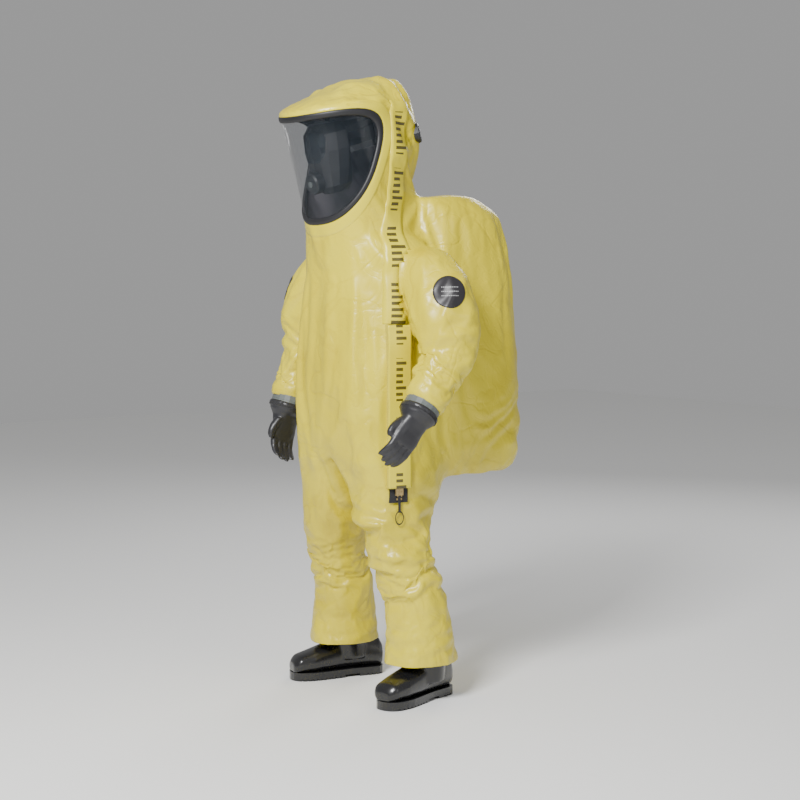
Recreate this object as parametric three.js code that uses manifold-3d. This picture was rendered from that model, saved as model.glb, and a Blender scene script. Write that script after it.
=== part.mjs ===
// Gas-tight chemical protective suit: a one-piece hooded garment with a hump at the back that
// covers a breathing set, a wrap-round visor, a covered side zip, clamped gloves and boots.
// Frame: +X is the wearer's left, +Y the wearer's back, +Z up. Millimetres, soles on z = 0.
import * as THREE from 'three';
import { mergeVertices } from 'three/addons/utils/BufferGeometryUtils.js';
import Module from 'manifold-3d';

const wasm = await Module();
wasm.setup();

// ---------- driving sizes ----------
const suitHeight = 1900;          // soles to the hood's crown, worn
const chestHalfWidth = 216;       // half the garment's width at the chest
const wall = 2.6;                 // garment wall; the real laminate is thinner
const gap = 0.3;                  // clearance between pieces that rest on each other
const hoodNod = 16.5;             // forward tilt of hood and visor, degrees
const visorRadius = 170;          // the visor sheet is bent to this radius
const visorSheet = 2;             // thickness of the visor sheet
const shoulderCut = 205;          // the sleeves start on this plane, each side
const elbowRadius = 89;           // outside of the elbow bulge
const cuffRadius = 56;            // outside of the hard cuff ring
const bootLength = 315;
const flapWidth = 76;             // outer flap over the zip
const zipRoom = 8.5;              // clear height under the flap, for the slider
const sleeveRound = 16;           // points round each sleeve ring
const roundness = 18;             // points round each garment ring

// ---------- heights and breadths that follow from them ----------
const crotchHeight = 0.401 * suitHeight;
const neckHeight = 0.7474 * suitHeight;
const hoodBase = 0.7658 * suitHeight;   // the hood's own frame starts here
const kneeHeight = 0.253 * suitHeight;
const hemHeight = 0.062 * suitHeight;
const shoulderHeight = 0.690 * suitHeight;
const tall = suitHeight / 1900;   // stretches every height with the suit
const wide = chestHalfWidth / 216;
const turnedSides = 20;           // flats round every turned piece
const flat = Math.cos(Math.PI / turnedSides);   // a flat's distance over a corner's
const elbowSides = 26;            // flats round the elbow bulges
const elbowInner = (elbowRadius - wall) * Math.cos(Math.PI / elbowSides) - gap;
const cutX = shoulderCut + 216 * (wide - 1);

// ---------- helpers ----------
const vec = (x, y, z) => new THREE.Vector3(x, y, z);
const X = vec(1, 0, 0);
const Y = vec(0, 1, 0);
const Z = vec(0, 0, 1);
const rad = THREE.MathUtils.degToRad;

// Points of one garment ring: an oval with its own front and back depth. `square` 2 is an
// ellipse and larger values are boxier; `inset` makes it smaller all round.
function ringPoints(station, inset, count) {
  const power = 2 / (station.square ?? 2);
  const points = [];
  for (let i = 0; i < count; i += 1) {
    const angle = (2 * Math.PI * i) / count;
    const c = Math.cos(angle);
    const s = Math.sin(angle);
    const depth = s < 0 ? station.front : station.back;
    const across = (station.half - inset) * Math.sign(c) * Math.abs(c) ** power;
    const deep = (depth - inset) * Math.sign(s) * Math.abs(s) ** power;
    points.push(station.at.clone().addScaledVector(station.u, across).addScaledVector(station.v, deep));
  }
  return points;
}

// A station lying level, as used for the torso, the legs and the hump.
const level = (z, x, y, half, front, back, square = 2) => (
  { at: vec(x, y, z), u: X, v: Y, half, front, back, square });

// A round or oval station whose ring faces along a path.
function facing(at, along, half, depth, square = 2) {
  const normal = along.clone().normalize();
  const v = Math.abs(normal.y) > 0.8 ? Z.clone() : Y.clone();
  v.addScaledVector(normal, -v.dot(normal)).normalize();
  const u = v.clone().cross(normal);
  return { at, u, v, half, front: depth, back: depth, square };
}

// Closed geometry through a list of rings, capped at both ends.
function loft(rings) {
  const count = rings[0].length;
  const vertices = rings.flat();
  const middle = (ring) => ring.reduce((sum, p) => sum.add(p), vec(0, 0, 0)).divideScalar(count);
  const first = vertices.push(middle(rings[0])) - 1;
  const last = vertices.push(middle(rings.at(-1))) - 1;
  const faces = [];
  for (let r = 0; r + 1 < rings.length; r += 1) {
    for (let i = 0; i < count; i += 1) {
      const a = r * count + i;
      const b = r * count + ((i + 1) % count);
      faces.push(a, b, b + count, a, b + count, a + count);
    }
  }
  const top = (rings.length - 1) * count;
  for (let i = 0; i < count; i += 1) {
    faces.push(first, (i + 1) % count, i);
    faces.push(last, top + i, top + ((i + 1) % count));
  }
  return closedGeometry(vertices, faces);
}

// Builds a geometry and turns it inside out if its faces point inwards.
function closedGeometry(vertices, faces) {
  let volume = 0;
  for (let f = 0; f < faces.length; f += 3) {
    const [a, b, c] = [vertices[faces[f]], vertices[faces[f + 1]], vertices[faces[f + 2]]];
    volume += a.dot(b.clone().cross(c));
  }
  if (volume < 0) {
    faces.reverse();
  }
  const geometry = new THREE.BufferGeometry();
  geometry.setAttribute('position', new THREE.Float32BufferAttribute(
    vertices.flatMap((p) => [p.x, p.y, p.z]), 3));
  geometry.setIndex(faces);
  return geometry;
}

// three.js geometry to a solid for adding and cutting.
function solid(geometry) {
  const bare = geometry.clone();
  bare.deleteAttribute('normal');
  bare.deleteAttribute('uv');
  const joined = mergeVertices(bare, 1e-4);
  return new wasm.Manifold(new wasm.Mesh({
    numProp: 3,
    vertProperties: new Float32Array(joined.attributes.position.array),
    triVerts: new Uint32Array(joined.index.array),
  }));
}

// The largest single body of a cut solid, as geometry. Slivers below `tidy` are merged away.
function geometryOf(body, tidy = 0.12) {
  const largest = body.decompose().reduce((a, b) => (a.volume() >= b.volume() ? a : b));
  const mesh = largest.simplify(tidy).getMesh();
  const geometry = new THREE.BufferGeometry();
  geometry.setAttribute('position', new THREE.Float32BufferAttribute(mesh.vertProperties, 3));
  geometry.setIndex(lowestFirst(mesh.triVerts, mesh.vertProperties));
  return geometry;
}

// Faces listed from the lowest up, so that a reader that judges a solid's inside by its first
// face starts on a plain outer one.
function lowestFirst(corners, positions) {
  const faces = [];
  for (let f = 0; f < corners.length; f += 3) {
    const [a, b, c] = corners.slice(f, f + 3);
    const height = positions[3 * a + 2] + positions[3 * b + 2] + positions[3 * c + 2];
    faces.push({ corners: [a, b, c], height });
  }
  return faces.sort((one, other) => one.height - other.height).flatMap((face) => face.corners);
}

// Solid through garment stations. `inset` thins it; `ends` lengthens it past its first and last
// ring, or shortens it where negative.
function bodyOf(stations, inset = 0, ends = [0, 0], count = roundness) {
  const rings = stations.map((station) => ringPoints(station, inset, count));
  const move = (ring, station, distance) => {
    const normal = station.u.clone().cross(station.v);
    ring.forEach((p) => p.addScaledVector(normal, distance));
  };
  for (const [last, distance] of [[false, ends[0]], [true, ends[1]]]) {
    const index = last ? stations.length - 1 : 0;
    const inward = stations[last ? index - 1 : 1].at.clone().sub(stations[index].at);
    const station = stations[index];
    const facesIn = Math.sign(station.u.clone().cross(station.v).dot(inward));
    const ring = last ? rings.at(-1) : rings[0];
    const target = distance > 0 ? ring.map((p) => p.clone()) : ring;
    move(target, station, -facesIn * distance);
    if (distance > 0) {
      rings[last ? 'push' : 'unshift'](target);
    }
  }
  return solid(loft(rings));
}

// Straight block between two corners, and a block placed by a matrix.
function block(low, high, matrix = null) {
  const size = high.clone().sub(low);
  const geometry = new THREE.BoxGeometry(size.x, size.y, size.z);
  const centre = low.clone().add(high).multiplyScalar(0.5);
  geometry.translate(centre.x, centre.y, centre.z);
  if (matrix) {
    geometry.applyMatrix4(matrix);
  }
  return solid(geometry);
}

// Turned part: profile of [radius, height] pairs about an axis through a point.
function turned(profile, at, axis, segments = turnedSides) {
  const geometry = new THREE.LatheGeometry(profile.map(([r, h]) => new THREE.Vector2(r, h)), segments);
  geometry.applyQuaternion(new THREE.Quaternion().setFromUnitVectors(Y, axis.clone().normalize()));
  geometry.translate(at.x, at.y, at.z);
  const body = solid(geometry);
  return body.volume() < 0 ? solid(flipped(geometry)) : body;
}

// The same geometry with every face turned round.
function flipped(geometry) {
  const turnedRound = geometry.clone();
  turnedRound.index.array.reverse();
  return turnedRound;
}

// Ball turned about X, the elbow's axis, so that two nested ones turn without touching.
const ball = (centre, radius) => solid(new THREE.SphereGeometry(radius, elbowSides, 8)
  .rotateZ(Math.PI / 2).translate(centre.x, centre.y, centre.z));

// ---------- materials ----------
const slots = {
  laminate: { color: '#e9cf5f', roughness: 0.38, metalness: 0 },
  visor: { color: '#b9c4c9', roughness: 0.06, metalness: 0 },
  gasket: { color: '#17171a', roughness: 0.55, metalness: 0 },
  glove_rubber: { color: '#1b1b1e', roughness: 0.5, metalness: 0 },
  boot_rubber: { color: '#111113', roughness: 0.3, metalness: 0 },
  ring_plastic: { color: '#5d625f', roughness: 0.45, metalness: 0 },
  valve_plastic: { color: '#202124', roughness: 0.4, metalness: 0 },
  zip_metal: { color: '#b08f4a', roughness: 0.35, metalness: 1 },
  zip_tape: { color: '#22221f', roughness: 0.8, metalness: 0 },
  touch_tape: { color: '#d8c052', roughness: 0.9, metalness: 0 },
  badge: { color: '#38363a', roughness: 0.4, metalness: 0 },
  strap: { color: '#242426', roughness: 0.85, metalness: 0 },
};
const materials = Object.fromEntries(Object.entries(slots).map(
  ([name, look]) => [name, new THREE.MeshStandardMaterial({ name, ...look })]));

const suit = new THREE.Group();
suit.name = 'chemical_protective_suit';
function add(name, slot, shape, tidy) {
  const geometry = geometryOf(shape, tidy);
  const mesh = new THREE.Mesh(geometry, materials[slot]);
  mesh.name = name;
  suit.add(mesh);
}

// ---------- torso: the wide front and back of the garment, neck to crotch ----------
const torsoSquare = 2.5;
const torsoStations = [
  [crotchHeight, 225, 172, 222], [850 * tall, 228, 184, 222], [950 * tall, 227, 191, 210],
  [1060 * tall, 223, 191, 188], [1156 * tall, 218, 179, 168], [1250 * tall, 216, 160, 156],
  [1330 * tall, 218, 150, 148], [1378 * tall, 210, 154, 138], [1402 * tall, 196, 164, 128],
  [neckHeight, 174, 176, 116],
].map(([z, half, front, back]) => level(z, 0, 0, half * wide, front, back, torsoSquare));

// ---------- hood: in its own frame, tilted forward about the neck ----------
const hoodFrame = new THREE.Matrix4().makeRotationX(rad(hoodNod));
hoodFrame.setPosition(0, -30, hoodBase);
const hoodU = X;
const hoodV = Y.clone().applyAxisAngle(X, rad(hoodNod));
const inHood = (x, y, z) => vec(x, y, z).applyMatrix4(hoodFrame);
const visorAxis = 10;             // how far behind the hood's own axis the visor's axis lies
const hoodStations = [
  [-110, 10, 152, 150, 96], [-30, 10, 158, 164, 112], [40, 10, 164, 176, 140], [115, 10, 171, 179, 176],
  [195, 10, 175, 179, 228], [290, 10, 177, 180, 240], [348, 10, 173, 184, 238], [382, 20, 154, 160, 204],
  [405, 40, 116, 108, 158], [418, 66, 62, 52, 82],
].map(([w, v, half, front, back]) => (
  { at: inHood(0, v, w * tall), u: hoodU, v: hoodV, half, front, back, square: 2.1 }));

// ---------- hump: covers the breathing set on the wearer's back ----------
const humpFront = 62;
const humpStations = [
  [704, 300, 178, 170, 168], [726, 296, 206, 214, 210], [800, 288, 226, 226, 232],
  [1060, 270, 222, 208, 222], [1300, 258, 210, 196, 206], [1440, 250, 202, 188, 192],
  [1500, 236, 190, 174, 168], [1545, 210, 160, 138, 116],
].map(([z, y, half, front, back]) => level(z * tall, 0, y, half * wide, front, back, 3.2));

// ---------- legs: wide at the crotch, down to a hem over the boot ----------
function legStations(side) {
  return [
    [crotchHeight - gap, 0, 0, 225, 172, 222, torsoSquare], [716 * tall, 92, 12, 136, 160, 214, 2.4],
    [650 * tall, 118, 4, 105, 138, 160, 2.2], [570 * tall, 134, -8, 92, 122, 128, 2.1],
    [kneeHeight, 166, -18, 92, 104, 108, 2.1], [400 * tall, 178, 2, 90, 94, 102, 2],
    [300 * tall, 190, 32, 90, 92, 96, 2], [200 * tall, 200, 48, 95, 104, 100, 2],
    [hemHeight, 205, 52, 99, 122, 116, 2],
  ].map(([z, x, y, half, front, back, square]) => (
    level(z, side * x * wide, y, half * wide, front, back, square)));
}
// A leg solid stays on its own side of the crotch.
function legBody(side, inset, ends) {
  const inner = 3 + inset;
  const low = vec(side > 0 ? inner : -600, -600, -50);
  const high = vec(side > 0 ? 600 : -inner, 600, suitHeight);
  return bodyOf(legStations(side), inset, ends).intersect(block(low, high));
}
const legSkin = (side) => legBody(side, 0, [0, 0]).subtract(legBody(side, wall, [5, 5]));

// ---------- sleeves: shoulder plane to elbow bulge, elbow bulge to cuff ----------
const arms = {
  left: {
    side: 1,
    upper: [[205, 38, 0], [246, 42, -6], [296, 50, -48], [328, 58, -128], [338, 58, -196]],
    elbow: vec(344, 54, 1072), cuff: vec(356, -66, 916), tilt: vec(0.06, -0.6, -0.8),
  },
  right: {
    side: -1,
    upper: [[205, 30, 0], [246, 24, -6], [294, 10, -48], [326, 2, -128], [336, 2, -196]],
    elbow: vec(-344, 2, 1078), cuff: vec(-352, -62, 892), tilt: vec(0, -0.22, -0.97),
  },
};
for (const arm of Object.values(arms)) {
  arm.shift = arm.side * 216 * (wide - 1);
  for (const point of [arm.elbow, arm.cuff]) {
    point.x += arm.shift;
    point.z *= tall;
  }
  arm.forearm = arm.cuff.clone().sub(arm.elbow).normalize();
}

// Rings of the upper sleeve turn from facing sideways at the shoulder to facing down.
function upperStations(arm) {
  const turns = [0, 32, 64, 80, 81];
  const halves = [80, 84, 88, 87, 84];
  const depths = [86, 89, 89, 87, 84];
  return arm.upper.map(([x, y, drop], i) => {
    const turn = rad(turns[i]);
    const u = vec(0, 1, 0);
    const v = vec(arm.side * Math.sin(turn), 0, Math.cos(turn));
    const at = vec(arm.side * x + arm.shift, y, (shoulderHeight + drop * tall));
    return { at, u, v, half: halves[i], front: depths[i], back: depths[i], square: 2.1 };
  });
}

function lowerStations(arm) {
  const along = arm.forearm;
  const length = arm.cuff.distanceTo(arm.elbow);
  const reach = [0.18, 0.45, 0.75, 0.93, 1];
  const radii = [77, 74, 68, 63, cuffRadius + 3 * gap + wall];
  return reach.map((part, i) => facing(
    arm.elbow.clone().addScaledVector(along, length * part), along, radii[i], radii[i]));
}

// Upper sleeve: ends in a bulge cut on a sloping plane, higher in front than behind.
function upperSleeve(arm) {
  const stations = upperStations(arm);
  const last = { ...stations.at(-1), at: arm.elbow.clone() };
  const path = [...stations, last];
  const full = bodyOf(path, 0, [0, 0], sleeveRound).add(ball(arm.elbow, elbowRadius));
  const hollow = bodyOf(path, wall, [5, 0], sleeveRound).add(ball(arm.elbow, elbowRadius - wall));
  const below = new THREE.Matrix4().makeRotationX(rad(-28));
  below.setPosition(arm.elbow.x, arm.elbow.y, arm.elbow.z + 34);
  const start = cutX + gap;
  return full.subtract(hollow)
    .subtract(block(vec(-150, -260, -300), vec(150, 260, 0), below))
    .intersect(arm.side > 0 ? block(vec(start, -600, 0), vec(900, 600, suitHeight))
      : block(vec(-900, -600, 0), vec(-start, 600, suitHeight)));
}

// Lower sleeve: starts as a bulge inside the upper one and tapers to the cuff ring.
function lowerSleeve(arm) {
  const stations = lowerStations(arm);
  const full = bodyOf(stations, 0, [0, 0], sleeveRound).add(ball(arm.elbow, elbowInner));
  const hollow = bodyOf(stations, wall, [20, 5], sleeveRound)
    .add(ball(arm.elbow, elbowInner - wall));
  const mouth = new THREE.Matrix4().makeBasis(X, arm.forearm.clone().cross(X), arm.forearm);
  mouth.setPosition(arm.elbow);
  const top = block(vec(-150, -150, -200), vec(150, 150, -elbowInner * 0.7), mouth);
  return full.subtract(hollow).subtract(top);
}

// ---------- visor: patches of a bent sheet with a shield-shaped outline ----------
const visorMiddle = 205 * tall;   // height of the outline's middle in the hood frame
const visorHalfHeight = 156 * tall;
const visorHalfArc = 249;         // half the sheet's arc length at its middle height
const visorTaper = 0.62 / tall;   // how fast the sheet widens upwards
const visorCorner = 3;            // squareness of the outline

// Point of the outline grown by `offset`, shrunk towards the middle by `share`.
function visorPoint(angle, offset, share, radius) {
  const c = Math.cos(angle);
  const s = Math.sin(angle);
  const reachShare = (Math.abs(c) ** visorCorner + Math.abs(s) ** visorCorner) ** (-1 / visorCorner);
  const rise = (visorHalfHeight + offset) * s * reachShare * share;
  const reach = (visorHalfArc + offset + visorTaper * rise) * c * reachShare;
  const turn = (reach * share) / visorRadius;
  return inHood(radius * Math.sin(turn), visorAxis - radius * Math.cos(turn), visorMiddle + rise);
}

// Whole sheet from the middle out to `offset`, between two radii.
function visorSheetBody(offset, low, high, around = 24) {
  const shares = [0.3, 0.65, 1];
  const vertices = [];
  const faces = [];
  for (const radius of [low, high]) {
    vertices.push(visorPoint(0, offset, 0, radius));
    for (const share of shares) {
      for (let i = 0; i < around; i += 1) {
        vertices.push(visorPoint((2 * Math.PI * (i + 0.5)) / around, offset, share, radius));
      }
    }
  }
  const perSide = 1 + shares.length * around;
  for (const [start, flip] of [[0, true], [perSide, false]]) {
    const face = (a, b, c) => faces.push(...(flip ? [a, c, b] : [a, b, c]));
    for (let i = 0; i < around; i += 1) {
      const next = (i + 1) % around;
      face(start, start + 1 + i, start + 1 + next);
      for (let r = 0; r + 1 < shares.length; r += 1) {
        const a = start + 1 + r * around;
        face(a + i, a + around + i, a + around + next);
        face(a + i, a + around + next, a + next);
      }
    }
  }
  const rim = 1 + (shares.length - 1) * around;
  for (let i = 0; i < around; i += 1) {
    const next = (i + 1) % around;
    faces.push(rim + i, perSide + rim + next, perSide + rim + i);
    faces.push(rim + i, rim + next, perSide + rim + next);
  }
  return solid(closedGeometry(vertices, faces));
}

const frameLap = 9;               // the gasket reaches this far outside the sheet's edge
const visorLens = visorSheetBody(0, visorRadius, visorRadius + visorSheet);
const visorGasket = visorSheetBody(frameLap, visorRadius - 4, visorRadius + visorSheet + 5)
  .subtract(visorSheetBody(-9, visorRadius - 20, visorRadius + 20))
  .subtract(visorSheetBody(gap, visorRadius - gap, visorRadius + visorSheet + gap));
const visorHole = visorSheetBody(frameLap + 8 * gap, visorRadius - 20, visorRadius + 20);

// ---------- garment solids cut against each other ----------
const torsoBody = bodyOf(torsoStations);
const hoodBody = bodyOf(hoodStations);
const humpHollow = bodyOf(humpStations, wall, [-wall, -wall]);
const aboveNeck = block(vec(-400, -500, neckHeight + gap), vec(400, 500, suitHeight + 200));
const armHole = (arm) => {
  const first = upperStations(arm)[0];
  return bodyOf([{ ...first, at: first.at.clone().addScaledVector(X, -arm.side * 40) }, first],
    wall, [0, 30]);
};

// The torso is narrowed to the shoulder plane where the sleeves start.
const shoulderBand = block(vec(-600, -600, 1150 * tall), vec(0, 600, suitHeight))
  .add(block(vec(0, -44, 1150 * tall), vec(600, 600, suitHeight)));
const beyondShoulders = shoulderBand
  .subtract(block(vec(-cutX, -600, 0), vec(cutX, 600, suitHeight)));

// ---------- exhaust valves: seat, sprung disc and cap; one on the hood, one on the hump ----------
function exhaustValve(name, surface, axis) {
  const a = axis.clone().normalize();
  const piece = (profile) => turned(profile, surface, a);
  const valve = { room: piece([[0, -40], [26 + gap, -40], [26 + gap, 20], [0, 20]]) };
  add(`${name}_seat`, 'valve_plastic',
    piece([[8, -8], [26, -8], [26, 1], [31, 1], [31, 4], [8, 4], [8, -8]]));
  add(`${name}_disc`, 'gasket', piece([[0, 4 + gap], [15, 4 + gap], [15, 6], [3, 7], [0, 7]]));
  let cap = piece([[0, 11], [24, 11], [30, 8], [30, 4 + gap], [27.5, 4 + gap], [27.5, 7], [23, 9.6],
    [0, 9.6]]);
  const upright = new THREE.Quaternion().setFromUnitVectors(Y, a);
  for (let i = 0; i < 4; i += 1) {
    const slot = new THREE.Matrix4().makeRotationFromQuaternion(upright)
      .multiply(new THREE.Matrix4().makeRotationY((2 * Math.PI * i) / 4));
    slot.setPosition(surface);
    cap = cap.subtract(block(vec(12, 9, -1.6), vec(21, 14, 1.6), slot));
  }
  add(`${name}_cap`, 'valve_plastic', cap);
  return valve;
}
const hoodValve = exhaustValve('hood_valve', inHood(124, 192, 225 * tall),
  hoodV.clone().add(vec(0.85, 0, 0)));
const packValve = exhaustValve('pack_valve', vec(-150 * wide, 457, 1180 * tall), vec(-0.57, 1, 0.05));

const torsoSkin = torsoBody.subtract(bodyOf(torsoStations, wall, [5, 5]))
  .subtract(beyondShoulders)
  .subtract(humpHollow)
  .subtract(armHole(arms.left))
  .subtract(armHole(arms.right));
add('torso_shell', 'laminate', torsoSkin);

const hoodSkin = hoodBody.subtract(bodyOf(hoodStations, wall, [5, -wall]))
  .intersect(aboveNeck)
  .subtract(visorHole)
  .subtract(hoodValve.room)
  .subtract(humpHollow);
add('hood_shell', 'laminate', hoodSkin);

const humpSkin = bodyOf(humpStations).subtract(humpHollow)
  .subtract(block(vec(-600, -600, 0), vec(600, humpFront, suitHeight)))
  .subtract(bodyOf(torsoStations, -gap, [gap, gap]))
  .subtract(bodyOf(hoodStations, -gap, [0, 0]))
  .subtract(legBody(1, -gap, [gap, 0]))
  .subtract(legBody(-1, -gap, [gap, 0]))
  .subtract(packValve.room);
add('backpack_shell', 'laminate', humpSkin);

add('visor_lens', 'visor', visorLens);
add('visor_gasket', 'gasket', visorGasket);

for (const [name, arm] of Object.entries(arms)) {
  add(`${name}_leg`, 'laminate', legSkin(arm.side));
  add(`${name}_sleeve_upper`, 'laminate', upperSleeve(arm));
  add(`${name}_sleeve_lower`, 'laminate', lowerSleeve(arm));
}

// ---------- covered zip: backing, chain, slider and pull in one flat frame ----------
const zipLow = 0.325 * suitHeight;
const zipHigh = 0.605 * suitHeight;
const zipLean = 13;               // the zip's plane looks this much forward, degrees
const zipLength = zipHigh - zipLow;
const zipChainHeight = 4;
const sliderHeight = 8;
const zipNormal = vec(Math.cos(rad(zipLean)), -Math.sin(rad(zipLean)), 0);
const zipAcross = vec(Math.sin(rad(zipLean)), Math.cos(rad(zipLean)), 0);
const zipFrame = new THREE.Matrix4().makeBasis(zipAcross, Z, zipNormal.clone().negate())
  .multiply(new THREE.Matrix4().makeScale(1, 1, -1));
zipFrame.setPosition(229.5 * wide, -58, zipLow);

// Block in the zip's frame: across the zip, up along it, and out from the body.
const zipBlock = (low, high) => block(vec(...low), vec(...high)).transform(zipFrame.elements);
const garmentGrown = bodyOf(torsoStations, -gap, [gap, gap])
  .add(legBody(1, -gap, [gap, 0]));
add('zip_tape', 'zip_tape', zipBlock([-30, 0, -60], [30, zipLength, 0]).subtract(garmentGrown));

// One toothed rail: a bar with a row of teeth, and a stop block at each end.
function zipChain() {
  const pitch = 30;
  let chain = zipBlock([-4, 8, gap], [4, zipLength - 8, 2.6]);
  const teeth = Math.floor((zipLength - 40) / pitch);
  for (let i = 0; i < teeth; i += 1) {
    const start = 20 + i * pitch;
    chain = chain.add(zipBlock([-7, start, gap], [7, start + pitch / 2, zipChainHeight]));
  }
  for (const end of [8, zipLength - 14]) {
    chain = chain.add(zipBlock([-9, end, gap], [9, end + 6, zipChainHeight + 0.4]));
  }
  return chain;
}
add('zip_chain', 'zip_metal', zipChain());

// Slider: a channel riding over the chain with a loop on top for the pull.
const sliderStart = 22;           // the zip is stored closed, slider at its lower stop
const sliderLong = 34;
const pullHinge = [0, sliderStart - 1.5, sliderHeight - 2];
function zipSlider() {
  const outside = zipBlock([-13, sliderStart, gap], [13, sliderStart + sliderLong, sliderHeight - 1.8]);
  const channel = zipBlock([-7 - gap, sliderStart - 1, 0],
    [7 + gap, sliderStart + sliderLong + 1, zipChainHeight + gap]);
  const lugs = [-8, 5].map((x) => zipBlock([x, sliderStart - 4, zipChainHeight + 2 * gap],
    [x + 3, sliderStart + 2, sliderHeight - 0.2]));
  const bore = solid(new THREE.CylinderGeometry(1.2, 1.2, 30, 12).rotateZ(Math.PI / 2)
    .translate(...pullHinge)).transform(zipFrame.elements);
  return outside.subtract(channel).add(lugs[0]).add(lugs[1]).subtract(bore);
}
add('zip_slider', 'zip_metal', zipSlider());

// Pull: a pin in the slider's lugs with a cord-like loop hanging below the flap.
function zipPull() {
  const pin = new THREE.CylinderGeometry(0.9, 0.9, 15, 10).rotateZ(Math.PI / 2)
    .translate(...pullHinge);
  const [, hingeUp, hingeOut] = pullHinge;
  const tab = new THREE.BoxGeometry(8, 50, 1.6).translate(0, hingeUp - 25, hingeOut);
  const loop = new THREE.TorusGeometry(13, 1.5, 6, 16).scale(1, 1.5, 1)
    .translate(0, hingeUp - 66, hingeOut);
  return solid(pin).add(solid(tab)).add(solid(loop)).transform(zipFrame.elements);
}
add('zip_pull', 'strap', zipPull());

// ---------- outer flap: hinged along its rear edge, held in front by touch tape ----------
const flapHalf = flapWidth / 2;
const flapSheet = 2.4;
const flapUnder = zipRoom + gap;
const flapLow = 44;               // the flap starts above the pull so the loop shows
const edgeStart = flapHalf - 9;   // inside face of the two strips that carry the flap
add('flap_hem_strip', 'laminate', zipBlock([edgeStart, flapLow, -60],
  [flapHalf, zipLength, flapUnder - gap])
  .subtract(garmentGrown)
  .subtract(zipBlock([-31, -5, -61], [30 + gap, zipLength + 5, gap])));
add('flap_loop_tape', 'touch_tape', zipBlock([-flapHalf, flapLow, -60], [-edgeStart, zipLength, 5])
  .subtract(garmentGrown)
  .subtract(zipBlock([-30 - gap, -5, -61], [31, zipLength + 5, gap])));
add('flap_hook_tape', 'touch_tape', zipBlock([-flapHalf, flapLow, 5 + gap], [-edgeStart, zipLength,
  flapUnder - gap]));
add('outer_flap', 'laminate', zipBlock([-flapHalf, flapLow, flapUnder], [flapHalf, zipLength,
  flapUnder + flapSheet]));

// Band over the shoulder and up the side of the hood, lying on the garment.
function bandOver(centres, half) {
  return bodyOf(centres.map(({ at, along }) => {
    const v = vec(1, 0, 0);
    v.addScaledVector(along, -v.dot(along)).normalize();
    return { at, u: v.clone().cross(along), v, half, front: 70, back: 70, square: 12 };
  }), 0, [0, 0], 16);
}
const lift = 2.4;
const torsoLayer = bodyOf(torsoStations, -gap - lift, [0, 0]).subtract(bodyOf(torsoStations, -gap, [5, 5]));
const hoodLayer = bodyOf(hoodStations, -gap - lift, [5, 5]).subtract(bodyOf(hoodStations, -gap, [6, 0]));
const shoulderBandLine = [[206, -70, 1222 * tall], [204, -72, 1300 * tall], [196, -78, 1372 * tall],
  [176, -84, neckHeight + 6]].map(([x, y, z]) => ({ at: vec(x * wide, y, z), along: Z.clone() }));
add('shoulder_flap', 'laminate', torsoLayer.intersect(bandOver(shoulderBandLine, flapHalf))
  .subtract(block(vec(cutX - gap, -600, 0), vec(900, 600, suitHeight)))
  .intersect(block(vec(0, -600, zipHigh + 1), vec(900, 0, neckHeight))));
const hoodBand = bandOver([
  { at: inHood(166, 40, -20 * tall), along: hoodV.clone().cross(X).negate() },
  { at: inHood(166, 92, 120 * tall), along: hoodV.clone().cross(X).negate() },
  { at: inHood(176, 98, 372 * tall), along: hoodV.clone().cross(X).negate() },
], flapHalf);
add('hood_flap', 'laminate', hoodLayer.intersect(hoodBand).subtract(visorHole)
  .intersect(aboveNeck));

// ---------- visor surround: a smooth panel round the gasket ----------
const surroundWidth = 46;
add('visor_surround', 'laminate', hoodLayer
  .intersect(visorSheetBody(frameLap + surroundWidth, visorRadius - 19, visorRadius + 19))
  .subtract(visorHole)
  .intersect(block(vec(-600, -900, neckHeight + 1), vec(600, 60, suitHeight)))
  .subtract(hoodBand));

// ---------- cuffs: hard ring in the sleeve, ring in the glove, clamp band, glove ----------
const ringLong = 26;
const gloveSides = 16;            // flats round a glove's cuff and palm
function cuffParts(name, arm) {
  const along = arm.forearm;
  const at = (distance) => arm.cuff.clone().addScaledVector(along, distance);
  const tube = (outer, inner, start, end) => turned([[inner, start], [outer, start], [outer, end],
    [inner, end], [inner, start]], arm.cuff, along);
  add(`${name}_cuff_ring`, 'ring_plastic',
    tube(cuffRadius - gap, cuffRadius - 6, -ringLong, ringLong * 0.4));
  const gloveRing = (cuffRadius - 6) * flat - gap;
  const [flangeStart, flangeEnd] = [ringLong * 0.4 + gap, ringLong * 0.62];
  add(`${name}_glove_ring`, 'ring_plastic', turned([
    [gloveRing - 5, -ringLong * 0.5], [gloveRing, -ringLong * 0.5], [gloveRing, flangeStart],
    [cuffRadius, flangeStart], [cuffRadius, flangeEnd], [gloveRing, flangeEnd],
    [gloveRing, ringLong * 1.5], [gloveRing - 5, ringLong * 1.5], [gloveRing - 5, -ringLong * 0.5],
  ], arm.cuff, along));
  const gloveOuter = (gloveRing + gap) / Math.cos(Math.PI / gloveSides) + wall;
  const clampInner = (gloveOuter + gap) / flat;
  const hand = new THREE.Matrix4();
  const down = arm.tilt.clone().normalize();
  const side = X.clone().addScaledVector(down, -X.dot(down)).normalize();
  hand.makeBasis(side.clone().cross(down), side, down);
  hand.setPosition(at(ringLong * 0.62 + gap));
  add(`${name}_glove`, 'glove_rubber', glove(arm, hand, at, gloveOuter));
  add(`${name}_glove_clamp`, 'strap', tube(clampInner + 6, clampInner, ringLong * 0.8,
    ringLong * 1.25).add(clampBuckle(arm, at(ringLong), clampInner + 3)));
}

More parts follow.
